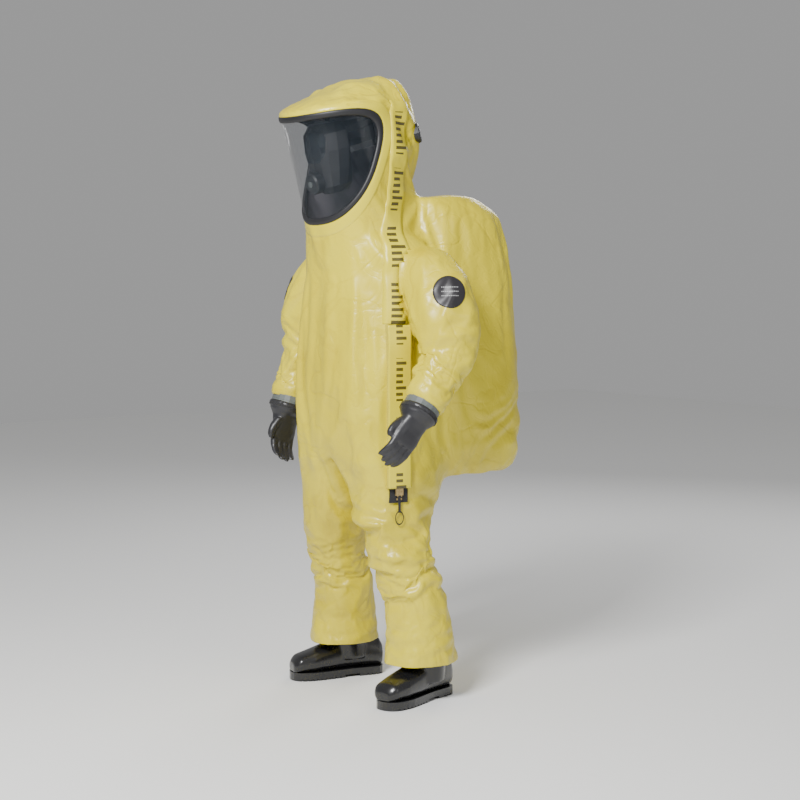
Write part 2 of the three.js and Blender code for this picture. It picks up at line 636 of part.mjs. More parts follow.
// Small over-centre buckle on a clamp band.
function clampBuckle(arm, centre, radius) {
  const outward = vec(arm.side, 0, 0);
  outward.addScaledVector(arm.forearm, -outward.dot(arm.forearm)).normalize();
  const frame = new THREE.Matrix4().makeBasis(arm.forearm.clone().cross(outward), arm.forearm,
    outward.clone());
  frame.setPosition(centre.clone().addScaledVector(outward, radius));
  return block(vec(-12, -5, -3), vec(12, 5, 7), frame);
}

// Glove: cuff tube over its ring, palm, four curved fingers and a thumb, hollow to the palm.
function glove(arm, hand, at, cuffOuter) {
  const start = ringLong * 0.62 + gap;
  const local = (across, thick, along) => vec(across, thick, along).applyMatrix4(hand);
  const axes = [0, 1, 2].map((i) => vec(0, 0, 0).setFromMatrixColumn(hand, i));
  const v = axes[1].clone().addScaledVector(arm.forearm, -axes[1].dot(arm.forearm)).normalize();
  const u = v.clone().cross(arm.forearm);
  const cuff = [start, start + 12, start + 26].map((d) => (
    { at: at(d), u, v, half: cuffOuter, front: cuffOuter, back: cuffOuter, square: 2 }));
  const palmRing = (along, half, thick, shift = 0) => (
    { at: local(shift, 0, along), u: axes[0], v: axes[1], half, front: thick, back: thick, square: 2.5 });
  const palm = [palmRing(40, 44, 34), palmRing(62, 44, 24), palmRing(96, 46, 20), palmRing(118, 42, 16)];
  const skin = bodyOf([...cuff, ...palm], 0, [0, 0], gloveSides);
  const room = bodyOf([...cuff, ...palm], wall, [8, -8], gloveSides);
  let body = skin;
  for (let finger = 0; finger < 4; finger += 1) {
    const across = -31.5 + finger * 21;
    const reach = [52, 62, 66, 58][finger];
    const joints = [[0.6, 96, 9.9], [2, 124, 9.9], [9, 122 + reach * 0.55, 9.5],
      [22, 122 + reach * 0.95, 8.6], [25, 122 + reach * 1.08, 4.5]];
    const inward = -arm.side;
    const rings = joints.map(([curl, along, radius]) => (
      { at: local(across, inward * curl, along), u: axes[0], v: axes[1],
        half: radius, front: radius, back: radius, square: 2 }));
    body = body.add(bodyOf(rings, 0, [0, 0], 7));
  }
  const thumb = [[-33, 54, 13], [-51, 85, 13], [-51, 110, 10.5], [-49, 119, 5]]
    .map(([across, along, radius]) => (
      { at: local(across, -arm.side * 10, along), u: axes[0], v: axes[1],
        half: radius, front: radius, back: radius, square: 2 }));
  body = body.add(bodyOf(thumb, 0, [0, 0], 6));
  return body.subtract(room);
}

// ---------- boots: rubber upper with a shaft inside the leg, and a treaded sole ----------
const soleThick = 26;
const shaftTop = 300 * tall;
function bootParts(name, side) {
  const ankle = vec(side * 205 * wide, 62, 0);
  const frame = new THREE.Matrix4().makeRotationZ(rad(side * 14.3));
  frame.setPosition(side * 210 * wide, 20, 0);
  const place = (x, y, z) => vec(x, y, z).applyMatrix4(frame);
  const u = vec(1, 0, 0).transformDirection(frame);
  const heel = bootLength / 2;
  const cross = (y, x, half, bottom, top, square) => ({
    at: place(side * x, y, (bottom + top) / 2), u, v: Z, half,
    front: (top - bottom) / 2, back: (top - bottom) / 2, square });
  const foot = [
    cross(-heel + 3, -4, 30, soleThick, 58, 2.4), cross(-heel + 22, -3, 44, soleThick, 78, 2.5),
    cross(-heel + 70, -1, 51, soleThick, 92, 2.6), cross(-heel + 130, 2, 48, soleThick, 112, 2.5),
    cross(30, 4, 43, soleThick, 140, 2.5), cross(100, 4, 40, soleThick, 140, 2.6),
    cross(heel - 22, 2, 36, soleThick, 128, 2.6), cross(heel - 3, 2, 26, soleThick, 96, 2.4),
  ];
  const shaft = [[60, 64, 0, 58], [110, 64, 0, 62], [150, 62, -4, 62], [shaftTop * 0.75, 66, -14, 66],
    [shaftTop, 68, -26, 68]].map(([z, half, y, depth]) => (
    level(z, side * (ankle.x * side - (z > 200 ? 8 : 0)), ankle.y + y, half, depth, depth)));
  const outside = bodyOf(foot, 0, [0, 0], 14).add(bodyOf(shaft, 0, [0, 0], 14));
  const inside = bodyOf(foot, 5, [-5, -5], 10).add(bodyOf(shaft, 5, [0, 10], 10));
  add(`${name}_boot`, 'boot_rubber', outside.subtract(inside)
    .subtract(block(vec(-600, -600, -10), vec(600, 600, soleThick + gap))));
  add(`${name}_boot_sole`, 'boot_rubber', bootSole(frame, side, heel));
  const legInside = legBody(side, wall + gap, [0, 0]);
  add(`${name}_boot_ring`, 'ring_plastic', legInside
    .intersect(block(vec(-600, -600, shaftTop - 26), vec(600, 600, shaftTop - 4)))
    .subtract(bodyOf(shaft, -gap, [0, 20], 14)));
}

// Sole outline: wide at the ball, waisted, rounded heel; with tread bars cut underneath.
function bootSole(frame, side, heel) {
  const outline = new THREE.Shape();
  const half = [[-heel, 0], [-heel + 6, 26], [-heel + 30, 46], [-heel + 80, 54], [-10, 47], [50, 41],
    [heel - 30, 41], [heel - 6, 26], [heel, 0]];
  const points = [...half.map(([y, x]) => new THREE.Vector2(x, y)),
    ...half.slice(1, -1).reverse().map(([y, x]) => new THREE.Vector2(-x, y))];
  outline.setFromPoints(new THREE.SplineCurve([...points, points[0]]).getPoints(36).slice(0, -1));
  let sole = solid(new THREE.ExtrudeGeometry(outline, { depth: soleThick, bevelEnabled: false }));
  for (let i = 0; i < 9; i += 1) {
    const y = -heel + 24 + i * 16;
    sole = sole.subtract(block(vec(-80, y, -5), vec(80, y + 5, 5)));
  }
  for (let i = 0; i < 4; i += 1) {
    const y = heel - 66 + i * 15;
    sole = sole.subtract(block(vec(-80, y, -5), vec(80, y + 5, 5)));
  }
  sole = sole.subtract(block(vec(-80, 14, -5), vec(80, 66, 8)));
  return sole.transform(frame.elements);
}

for (const [name, arm] of Object.entries(arms)) {
  cuffParts(name, arm);
  bootParts(name, arm.side);
}

// ---------- arm badges: plain round patches on the upper sleeves ----------
function armBadge(arm) {
  const stations = upperStations(arm);
  const full = [...stations, { ...stations.at(-1), at: arm.elbow.clone() }];
  const layer = bodyOf(full, -2 * gap - 1.2, [0, 0], sleeveRound)
    .subtract(bodyOf(full, -2 * gap, [5, 5], sleeveRound));
  const centre = stations[2].at.clone().lerp(stations[3].at, 0.3);
  const round = turned([[0, -10], [50, -10], [50, 200], [0, 200]], centre,
    vec(arm.side * 0.86, -0.48, 0.1), 28);
  return layer.intersect(round);
}
for (const [name, arm] of Object.entries(arms)) {
  add(`${name}_arm_badge`, 'badge', armBadge(arm));
}

// ---------- full-face mask hung in the hood: seal, window, speech valve, straps ----------
function maskParts() {
  const eyes = 235 * tall;
  const at = (x, v, w) => inHood(x, v, eyes + w);
  const ring = (w, half, front, back, v) => (
    { at: at(0, v, w), u: hoodU, v: hoodV, half, front, back, square: 2.3 });
  const shell = [ring(-118, 34, 40, 40, -58), ring(-96, 56, 62, 50, -52), ring(-52, 72, 76, 60, -44),
    ring(10, 84, 84, 60, -36), ring(62, 84, 78, 60, -32), ring(92, 62, 58, 50, -28)];
  const face = bodyOf(shell, 0, [0, 0], 16);
  const room = bodyOf(shell, 7, [-7, -7], 16);
  const rim = -32;                // the mask ends on this plane of the hood frame
  const backHalf = block(vec(-200, rim, 0), vec(200, 300, 600), hoodFrame);
  const skin = face.subtract(room).subtract(backHalf);
  const pane = (grow) => maskWindow(58 + grow, 46 + grow, eyes + 28);
  const mouth = at(0, -112, -76);
  const out = hoodV.clone().negate();
  const plug = turned([[0, -40], [22 + gap, -40], [22 + gap, 5], [33 + gap, 5], [33 + gap, 40],
    [0, 40]], mouth, out);
  add('mask_body', 'gasket', skin.subtract(pane(gap)).subtract(plug));
  const paneSkin = bodyOf(shell, 1.5, [0, 0], 16).subtract(bodyOf(shell, 4.5, [0, 0], 16));
  add('mask_lens', 'visor', paneSkin.intersect(pane(0)));
  // Harness: two bands round the back of the head, joined at the rear, ends on the mask's rim.
  const loop = (w, half, back) => [ring(w - 9, half, 60, back, 0), ring(w + 9, half, 60, back, 0)];
  const bandSkin = (w, half, back) => bodyOf(loop(w, half, back), 0, [0, 0], 16)
    .subtract(bodyOf(loop(w, half, back), 2, [5, 5], 16));
  const rearPad = block(vec(-24, 108, eyes - 20), vec(24, 113, eyes + 80), hoodFrame);
  add('mask_harness', 'strap', bandSkin(0, 92, 112).add(bandSkin(60, 92, 112)).add(rearPad)
    .subtract(block(vec(-200, -300, 0), vec(200, rim + gap, 700), hoodFrame)));
  const strap = block(vec(-12, -34, eyes + 92 + gap), vec(12, -31, eyes + 260), hoodFrame);
  add('mask_hanger', 'strap', strap.intersect(bodyOf(hoodStations, wall + gap, [0, -wall - gap])));
  add('demand_valve', 'valve_plastic', turned([[0, -6], [22, -6], [22, 5 + gap], [33, 5 + gap],
    [33, 28], [28, 33], [9 + gap, 33], [9 + gap, 27], [0, 27]], mouth, out));
  add('demand_button', 'ring_plastic', turned([[0, 27 + 3], [9, 27 + 3], [9, 36], [0, 36]], mouth, out));
}

// Prism that bounds the mask's window, seen from the front.
function maskWindow(halfWide, halfTall, height) {
  const rightSide = [[0.5, -1], [0.9, -0.5], [1, 0.55], [0.78, 1]];
  const leftSide = rightSide.map(([x, y]) => [-x, y]).reverse();
  const shape = new THREE.Shape([...rightSide, ...leftSide].map(([x, y]) => (
    new THREE.Vector2(x * halfWide, y * halfTall))));
  const geometry = new THREE.ExtrudeGeometry(shape, { depth: 120, bevelEnabled: false });
  geometry.rotateX(Math.PI / 2).translate(0, -40, height).applyMatrix4(hoodFrame);
  return solid(geometry);
}
maskParts();

// ---------- the part's own frame: base centre of everything at the origin ----------
const whole = new THREE.Box3().setFromObject(suit, true);
const middle = whole.getCenter(vec(0, 0, 0));
for (const mesh of suit.children) {
  mesh.geometry.translate(-middle.x, -middle.y, -whole.min.z);
}

export default suit;
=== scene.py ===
# Gas-tight chemical protective suit: one coated garment with hood and hump, wide visor with the
# breathing mask behind it, covered zip, clamped rubber gloves and rubber boots.
import math

import bmesh
import bpy
import numpy as np
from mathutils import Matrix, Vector, noise
from mathutils.bvhtree import BVHTree


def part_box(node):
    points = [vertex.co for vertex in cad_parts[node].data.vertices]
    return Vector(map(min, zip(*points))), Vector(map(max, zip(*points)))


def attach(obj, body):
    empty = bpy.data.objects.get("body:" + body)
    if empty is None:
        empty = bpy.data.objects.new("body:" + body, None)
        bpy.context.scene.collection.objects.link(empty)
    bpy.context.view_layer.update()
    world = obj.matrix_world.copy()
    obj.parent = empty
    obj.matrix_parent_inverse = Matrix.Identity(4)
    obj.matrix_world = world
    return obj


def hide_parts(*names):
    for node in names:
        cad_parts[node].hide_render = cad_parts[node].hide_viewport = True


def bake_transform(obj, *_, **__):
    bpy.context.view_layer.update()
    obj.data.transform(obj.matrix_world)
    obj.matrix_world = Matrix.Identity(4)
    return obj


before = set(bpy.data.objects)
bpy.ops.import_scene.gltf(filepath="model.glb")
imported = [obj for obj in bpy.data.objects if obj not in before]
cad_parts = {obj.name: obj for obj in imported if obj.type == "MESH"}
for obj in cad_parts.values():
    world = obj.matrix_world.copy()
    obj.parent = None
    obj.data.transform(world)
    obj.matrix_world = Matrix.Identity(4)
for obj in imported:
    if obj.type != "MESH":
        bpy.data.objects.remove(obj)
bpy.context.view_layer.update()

# ---------------------------------------------------------------- camera, light and floor
# Plain pale studio seen from the suit's left front, at about head height: one large soft key,
# a weaker fill and a rim light behind the hump.
camera_data = bpy.data.cameras.new("camera")
camera_data.lens = 81.1
camera_data.sensor_width = 36
camera = bpy.data.objects.new("camera", camera_data)
camera.location = (4.507, -3.389, 1.358)
looked_at = Vector((0.056, -0.037, 0.908))
camera.rotation_euler = (looked_at - camera.location).to_track_quat("-Z", "Y").to_euler()
bpy.context.scene.collection.objects.link(camera)
bpy.context.scene.camera = camera


def area_light(name, at, aimed_at, size, power, colour=(1, 1, 1)):
    data = bpy.data.lights.new(name, "AREA")
    data.size = size
    data.energy = power
    data.color = colour
    light = bpy.data.objects.new(name, data)
    light.location = at
    light.rotation_euler = (Vector(aimed_at) - Vector(at)).to_track_quat("-Z", "Y").to_euler()
    bpy.context.scene.collection.objects.link(light)


area_light("key_light", (1.9, -3.3, 3.5), (0, -0.1, 1.35), 1.2, 330)
area_light("fill_light", (5.2, 0.4, 2.4), (0.1, 0, 1.0), 2.6, 36)
area_light("rim_light", (-2.2, 3.4, 3.2), (0, 0.2, 1.2), 1.6, 60)

world = bpy.data.worlds.new("studio")
bpy.context.scene.world = world
world.use_nodes = True
world.node_tree.nodes["Background"].inputs["Color"].default_value = (1, 1, 1, 1)
world.node_tree.nodes["Background"].inputs["Strength"].default_value = 0.36


# One socket of a shader, so that shading sums read as sums.
class Value:
    def __init__(self, tree, socket):
        self.tree = tree
        self.socket = socket

    def _math(self, operation, first, second=None):
        node = self.tree.nodes.new("ShaderNodeMath")
        node.operation = operation
        for slot_at, item in enumerate(x for x in (first, second) if x is not None):
            if isinstance(item, Value):
                self.tree.links.new(item.socket, node.inputs[slot_at])
            else:
                node.inputs[slot_at].default_value = item
        return Value(self.tree, node.outputs[0])

    def __add__(self, other):
        return self._math("ADD", self, other)

    def __radd__(self, other):
        return self._math("ADD", other, self)

    def __sub__(self, other):
        return self._math("SUBTRACT", self, other)

    def __rsub__(self, other):
        return self._math("SUBTRACT", other, self)

    def __mul__(self, other):
        return self._math("MULTIPLY", self, other)

    def __rmul__(self, other):
        return self._math("MULTIPLY", other, self)

    def __gt__(self, other):
        return self._math("GREATER_THAN", self, other)

    def __lt__(self, other):
        return self._math("LESS_THAN", self, other)

    def __abs__(self):
        return self._math("ABSOLUTE", self)

    def wrapped(self, length):
        return self._math("FLOORED_MODULO", self, length)


# A new material with its principled shader, and one way to add any other node.
class Finish:
    def __init__(self, name, **constants):
        self.material = bpy.data.materials.new(name)
        self.material.use_nodes = True
        self.tree = self.material.node_tree
        self.shader = self.tree.nodes["Principled BSDF"]
        for socket, value in constants.items():
            self.shader.inputs[socket.replace("_", " ")].default_value = value

    def node(self, kind, settings=None, result=0, **inputs):
        made = self.tree.nodes.new("ShaderNode" + kind)
        for key, value in (settings or {}).items():
            if key == "stops":
                ramp = made.color_ramp
                while len(ramp.elements) < len(value):
                    ramp.elements.new(0.5)
                for element, (place, colour) in zip(ramp.elements, value):
                    element.position = place
                    element.color = colour
            else:
                setattr(made, key, value)
        for key, value in inputs.items():
            socket = made.inputs[int(key[1:]) if key[0] == "i" and key[1:].isdigit() else key]
            if isinstance(value, Value):
                self.tree.links.new(value.socket, socket)
            else:
                socket.default_value = value
        return Value(self.tree, made.outputs[result])

    def feed(self, socket, value):
        self.tree.links.new(value.socket, self.shader.inputs[socket])

    def place(self):
        return self.node("TexCoord", result=3)


floor_mesh = bpy.data.meshes.new("floor")
floor_reach, floor_drop = 9, -0.001
floor_mesh.from_pydata([(-floor_reach, -floor_reach, floor_drop), (floor_reach, -floor_reach, floor_drop),
                        (floor_reach, floor_reach, floor_drop), (-floor_reach, floor_reach, floor_drop)],
                       [], [(0, 1, 2, 3)])
floor = bpy.data.objects.new("floor", floor_mesh)
bpy.context.scene.collection.objects.link(floor)
floor_paint = Finish("floor_paint", Base_Color=(0.9, 0.9, 0.89, 1), Roughness=0.9)
floor_mesh.materials.append(floor_paint.material)

# ---------------------------------------------------------------- garment
# Torso, hood, hump, legs and sleeves are one envelope of stiff coated laminate with welded
# seams, so it hangs in broad flat facets with crisp creases at elbows, knees and hems.
hood_nod = math.radians(16.5)
depth_shift = -0.1146
hood_across = np.array([1.0, 0, 0])
hood_back = np.array([0, math.cos(hood_nod), math.sin(hood_nod)])
hood_up = np.array([0, -math.sin(hood_nod), math.cos(hood_nod)])
hood_origin = np.array([0, -0.030 + depth_shift, 1.455])
ring_points = 48


def oval(at, across, deep, half, front, back, square):
    turn = np.linspace(0, 2 * math.pi, ring_points, endpoint=False)
    c, s = np.cos(turn), np.sin(turn)
    power = 2 / square
    out = half * np.sign(c) * np.abs(c) ** power
    depth = np.where(s < 0, front, back) * np.sign(s) * np.abs(s) ** power
    return np.array(at) + np.outer(out, across) + np.outer(depth, deep)


def level(z, x, y, half, front, back, square):
    return oval((x, y + depth_shift, z), (1, 0, 0), (0, 1, 0), half, front, back, square)


def tube_parts(rings, offset=0):
    count = len(rings[0])
    points = np.concatenate(rings)
    faces = []
    for r in range(len(rings) - 1):
        for i in range(count):
            a, b = r * count + i, r * count + (i + 1) % count
            faces.append([a + offset, b + offset, b + count + offset, a + count + offset])
    faces.append([offset + i for i in reversed(range(count))])
    faces.append([offset + (len(rings) - 1) * count + i for i in range(count)])
    return points, faces


def joined(name, list_of_rings):
    points, faces = [], []
    for rings in list_of_rings:
        more_points, more_faces = tube_parts(rings, sum(len(p) for p in points))
        points.append(more_points)
        faces += more_faces
    return mesh_object(name, np.concatenate(points), faces)


def mesh_object(name, points, faces):
    mesh = bpy.data.meshes.new(name)
    mesh.from_pydata([tuple(map(float, p)) for p in points], [], faces)
    made = bpy.data.objects.new(name, mesh)
    bpy.context.scene.collection.objects.link(made)
    return made


# Replaces an object's mesh by one closed skin of even quads round everything in it.
def skinned(made, grain):
    remesh = made.modifiers.new("skin", "REMESH")
    remesh.mode = "VOXEL"
    remesh.voxel_size = grain
    evaluated = made.evaluated_get(bpy.context.evaluated_depsgraph_get())
    mesh = bpy.data.meshes.new_from_object(evaluated)
    made.modifiers.clear()
    old = made.data
    made.data = mesh
    bpy.data.meshes.remove(old)
    return made


def points_of(mesh):
    flat = np.empty(len(mesh.vertices) * 3)
    mesh.vertices.foreach_get("co", flat)
    return flat.reshape(-1, 3)


def set_points(mesh, points):
    mesh.vertices.foreach_set("co", points.ravel())
    mesh.update()


def normals_of(mesh):
    flat = np.empty(len(mesh.vertices) * 3, np.float32)
    mesh.vertex_normals.foreach_get("vector", flat)
    return flat.reshape(-1, 3).astype(float)


def relaxed(mesh, times, strength=0.5):
    edges = np.empty(len(mesh.edges) * 2, np.int32)
    mesh.edges.foreach_get("vertices", edges)
    a, b = edges.reshape(-1, 2).T
    count = len(mesh.vertices)
    ends, others = np.concatenate([a, b]), np.concatenate([b, a])
    degree = np.maximum(np.bincount(ends, minlength=count), 1)[:, None]
    points = points_of(mesh)
    held = np.broadcast_to(np.asarray(strength, float), (count,))[:, None]
    for _ in range(times):
        near = np.stack([np.bincount(ends, points[others, k], count) for k in range(3)], 1) / degree
        points = points + held * (near - points)
    set_points(mesh, points)


torso = [level(z, 0, 0, half, front, back, 2.5) for z, half, front, back in [
    (0.762, 0.225, 0.172, 0.222), (0.850, 0.227, 0.184, 0.222), (0.950, 0.226, 0.191, 0.210),
    (1.060, 0.223, 0.191, 0.188), (1.156, 0.218, 0.179, 0.168), (1.250, 0.216, 0.160, 0.156),
    (1.330, 0.217, 0.150, 0.148), (1.378, 0.208, 0.154, 0.138), (1.402, 0.194, 0.164, 0.128),
    (1.424, 0.168, 0.174, 0.116)]]
hood = [oval(hood_origin + v * hood_back + w * hood_up, hood_across, hood_back, half, front, back, 2.1)
        for w, v, half, front, back in [
    (-0.110, 0.010, 0.150, 0.150, 0.096), (-0.030, 0.010, 0.158, 0.164, 0.112),
    (0.040, 0.010, 0.164, 0.174, 0.140), (0.115, 0.010, 0.171, 0.177, 0.176),
    (0.195, 0.010, 0.175, 0.178, 0.228), (0.290, 0.010, 0.177, 0.180, 0.240),
    (0.348, 0.010, 0.173, 0.184, 0.238), (0.382, 0.020, 0.154, 0.160, 0.204),
    (0.405, 0.040, 0.116, 0.108, 0.158), (0.418, 0.066, 0.062, 0.052, 0.082)]]
hump = [level(z, 0, y, half, front, back, 3.2) for z, y, half, front, back in [
    (0.704, 0.300, 0.178, 0.170, 0.168), (0.726, 0.296, 0.206, 0.214, 0.210),
    (0.800, 0.288, 0.224, 0.226, 0.230), (1.060, 0.270, 0.221, 0.208, 0.220),
    (1.300, 0.258, 0.210, 0.196, 0.206), (1.440, 0.250, 0.202, 0.188, 0.192),
    (1.500, 0.236, 0.190, 0.174, 0.168), (1.545, 0.210, 0.160, 0.138, 0.116)]]
legs = [[level(z, side * x, y, half, front, back, square) for z, x, y, half, front, back, square in [
    (0.770, 0.060, 0, 0.165, 0.170, 0.218, 2.5), (0.716, 0.092, 0.012, 0.134, 0.158, 0.210, 2.4),
    (0.650, 0.118, 0.004, 0.105, 0.138, 0.160, 2.2), (0.570, 0.134, -0.008, 0.093, 0.122, 0.128, 2.1),
    (0.481, 0.166, -0.018, 0.092, 0.104, 0.108, 2.1), (0.400, 0.178, 0.002, 0.090, 0.094, 0.102, 2),
    (0.300, 0.190, 0.032, 0.090, 0.092, 0.096, 2), (0.200, 0.200, 0.048, 0.095, 0.104, 0.100, 2),
    (0.100, 0.205, 0.052, 0.099, 0.122, 0.116, 2)]] for side in (1, -1)]
elbows = {"left": np.array([0.344, 0.054 + depth_shift, 1.072]),
          "right": np.array([-0.344, 0.002 + depth_shift, 1.078])}
wrists = {"left": np.array([0.356, -0.066 + depth_shift, 0.916]),
          "right": np.array([-0.352, -0.062 + depth_shift, 0.892])}
forearms = {name: (wrists[name] - elbows[name]) / np.linalg.norm(wrists[name] - elbows[name])
            for name in elbows}
upper_lines = {
    "left": [(0.190, 0.038, 1.311), (0.246, 0.042, 1.305), (0.296, 0.050, 1.263), (0.328, 0.058, 1.183),
             (0.338, 0.058, 1.115)],
    "right": [(-0.190, 0.030, 1.311), (-0.246, 0.024, 1.305), (-0.294, 0.010, 1.263),
              (-0.326, 0.002, 1.183), (-0.336, 0.002, 1.115)]}


def sleeve(name, side):
    rings = []
    for (x, y, z), turn, half, depth in zip(upper_lines[name], (0, 32, 64, 80, 84),
                                            (0.080, 0.084, 0.088, 0.087, 0.085),
                                            (0.086, 0.089, 0.089, 0.087, 0.085)):
        deep = (side * math.sin(math.radians(turn)), 0, math.cos(math.radians(turn)))
        rings.append(oval((x, y + depth_shift, z), (0, 1, 0), deep, half, depth, depth, 2.1))
    rings.append(oval(elbows[name], (0, 1, 0), (side, 0, 0.0), 0.085, 0.083, 0.083, 2.1))
    along = forearms[name]
    deep = np.array([side, 0, 0]) - side * along[0] * along
    across = np.cross(deep, along) * -side
    across = across * (1 if across[1] > 0 else -1)
    length = np.linalg.norm(wrists[name] - elbows[name])
    for part, radius in ((0.3, 0.079), (0.55, 0.073), (0.8, 0.067), (0.95, 0.0615), (1.02, 0.060)):
        rings.append(oval(elbows[name] + part * length * along, across, deep, radius, radius, radius, 2))
    return rings


garment = joined("garment", [torso, hood, hump, *legs, sleeve("left", 1), sleeve("right", -1)])
skinned(garment, 0.011)
relaxed(garment.data, 5)


def far_from(points, line):
    nearest = np.full(len(points), 9.0)
    for start, end in zip(line[:-1], line[1:]):
        start, end = np.array(start, float), np.array(end, float)
        along = end - start
        share = np.clip(((points - start) @ along) / (along @ along), 0, 1)
        nearest = np.minimum(nearest, np.linalg.norm(points - start - share[:, None] * along, axis=1))
    return nearest


def ripple(points, scale, seed):
    offset = np.array((seed * 3.7, seed * 1.3, -seed * 2.1))
    return np.array([noise.noise(Vector(p)) for p in points * scale + offset])


def ramp(values, start, end):
    share = np.clip((values - start) / (end - start), 0, 1)
    return share * share * (3 - 2 * share)


# Sharp-topped waves: 1 on the crests, 0 in the valleys.
def pleats(phase):
    return 1 - 2 * np.abs(phase - np.floor(phase) - 0.5)


skin = points_of(garment.data)
shove = np.zeros(len(skin))
in_hood = skin - hood_origin
hood_x, hood_v, hood_w = in_hood @ hood_across, in_hood @ hood_back, in_hood @ hood_up

# The visor's place on the hood: distance outside its outline, and distance from its bend axis.
visor_radius = 0.170
visor_axis = 0.010
visor_middle = 0.205
visor_half_height = 0.156
visor_half_arc = 0.249
visor_taper = 0.62


def visor_offset(x, v, w):
    turn = np.arctan2(x, visor_axis - v)
    rise, reach = w - visor_middle, turn * visor_radius
    size = (np.abs(rise / visor_half_height) ** 3
            + np.abs(reach / (visor_half_arc + visor_taper * rise)) ** 3) ** (1 / 3)
    return np.hypot(rise, reach) * (1 - 1 / np.maximum(size, 1e-3))


outside_visor = visor_offset(hood_x, hood_v, hood_w)
from_bend_axis = np.hypot(hood_x, hood_v - visor_axis)
on_head = (hood_w > 0.0) & (from_bend_axis < 0.24) & (skin[:, 2] > 1.44)
near_visor = np.where(on_head, 1 - ramp(outside_visor, 0.012, 0.085), 0)

# Broad facets all over, flatter round the visor.
coarse = ripple(skin, 4.2, 1)
medium = ripple(skin, 9.5, 2)
fine = ripple(skin, 21, 3)
shove += 0.014 * (0.30 - np.abs(coarse)) * (1 - near_visor)
shove += 0.011 * (0.22 - np.abs(medium)) * (1 - near_visor)
shove += 0.0030 * (0.2 - np.abs(fine)) * (1 - near_visor)

limb_lines = {name: [np.array(p) + (0, depth_shift, 0) for p in upper_lines[name]]
              + [elbows[name], wrists[name]] for name in ("left", "right")}
for side, (name, line) in zip((1, -1), limb_lines.items()):
    arm_share = (1 - ramp(far_from(skin, line), 0.100, 0.115)) * (side * skin[:, 0] > 0.225)
    along = (skin - elbows[name]) @ forearms[name]
    above = elbows[name][2] - skin[:, 2]
    twist = np.arctan2(skin[:, 1] - elbows[name][1], side * (skin[:, 0] - elbows[name][0]))
    bend = np.exp(-(above / 0.085) ** 2)
    wave = pleats(above / 0.052 + 1.9 * coarse + 0.35 * np.cos(twist + 0.7) + 0.5 * medium)
    shove += arm_share * bend * 0.015 * (wave - 0.55) * (0.65 + 0.35 * np.cos(twist + 1.9))
    cuff = ramp(along, 0.07, 0.13) * (1 - ramp(along, 0.165, 0.18))
    shove += arm_share * cuff * 0.008 * (pleats(along / 0.034 + 1.6 * medium + 0.3 * np.cos(2 * twist)) - 0.5)
    shoulder = np.exp(-((skin[:, 2] - 1.24) / 0.07) ** 2)
    sloping = (skin[:, 2] + 0.4 * side * skin[:, 0]) / 0.075
    shove += arm_share * shoulder * 0.007 * (pleats(sloping + coarse) - 0.5)

# Legs: stacked folds over the boots, creases behind and over the knees, rolls at the thighs.
for side in (1, -1):
    on_leg = (side * skin[:, 0] > 0.0) & (skin[:, 2] < 0.70)
    middle_x = np.interp(skin[:, 2], (0.1, 0.3, 0.48, 0.65, 0.76), (0.205, 0.19, 0.166, 0.118, 0.06)) * side
    middle_y = np.interp(skin[:, 2], (0.1, 0.3, 0.48, 0.65), (0.052, 0.032, -0.018, 0.004)) + depth_shift
    around = np.arctan2(side * (skin[:, 0] - middle_x), -(skin[:, 1] - middle_y))
    knee = np.exp(-((skin[:, 2] - 0.41) / 0.085) ** 2)
    wave = pleats(skin[:, 2] / 0.066 + 1.5 * coarse + 0.30 * np.cos(around - 0.6) + 0.5 * medium)
    shove += on_leg * knee * 0.019 * (wave - 0.5)
    ankle = np.exp(-((skin[:, 2] - 0.19) / 0.07) ** 2)
    shove += on_leg * ankle * 0.003 * (pleats(skin[:, 2] / 0.05 + 1.3 * coarse + 0.35 * np.cos(around)) - 0.5)
    if side > 0:
        roll = 0.595 - 0.030 * np.cos(around - 0.6) + 0.012 * medium
        in_front = on_leg * ramp(np.cos(around - 0.5), -0.5, 0.5)
        shove += in_front * 0.022 * np.exp(-((skin[:, 2] - roll - 0.014) / 0.024) ** 2)
        shove -= in_front * 0.022 * np.exp(-((skin[:, 2] - roll + 0.040) / 0.020) ** 2)

# The crotch seam pulls in between the legs, front and back, and a deep pull line runs down from
# it on the front of the right thigh.
between = np.exp(-(skin[:, 0] / 0.018) ** 2) * ramp(-skin[:, 2], -0.80, -0.72)
shove -= 0.030 * between
pull_line = np.exp(-((skin[:, 0] + 0.052 + 0.02 * coarse) / 0.011) ** 2) * (skin[:, 1] < depth_shift)
shove -= 0.016 * pull_line * ramp(skin[:, 2], 0.56, 0.62) * (1 - ramp(skin[:, 2], 0.74, 0.80))

# The hump sags in slanting folds over its lower edge and has two long upright creases.
on_hump = ramp(skin[:, 1], 0.10, 0.16)
sag = np.exp(-((skin[:, 2] - 0.84) / 0.11) ** 2)
slant = skin[:, 2] - 0.35 * skin[:, 1] + 0.15 * skin[:, 0]
shove += on_hump * sag * 0.015 * (pleats(slant / 0.095 + 2.3 * coarse + 0.9 * medium) - 0.5)
for upright in (0.26, 0.33):
    crease = np.exp(-((skin[:, 1] - upright - 0.03 * coarse) / 0.010) ** 2)
    shove -= on_hump * 0.006 * crease * ramp(skin[:, 2], 0.98, 1.08) * (1 - ramp(skin[:, 2], 1.38, 1.46))

# The hood's crown lies in slack folds from the brow back.
crown = on_head * ramp(hood_w, 0.28, 0.36) * (1 - near_visor)
crown_phase = hood_v / 0.080 + 3 * hood_x + 1.6 * coarse + 0.7 * medium
shove += crown * 0.011 * (pleats(crown_phase) - 0.45)

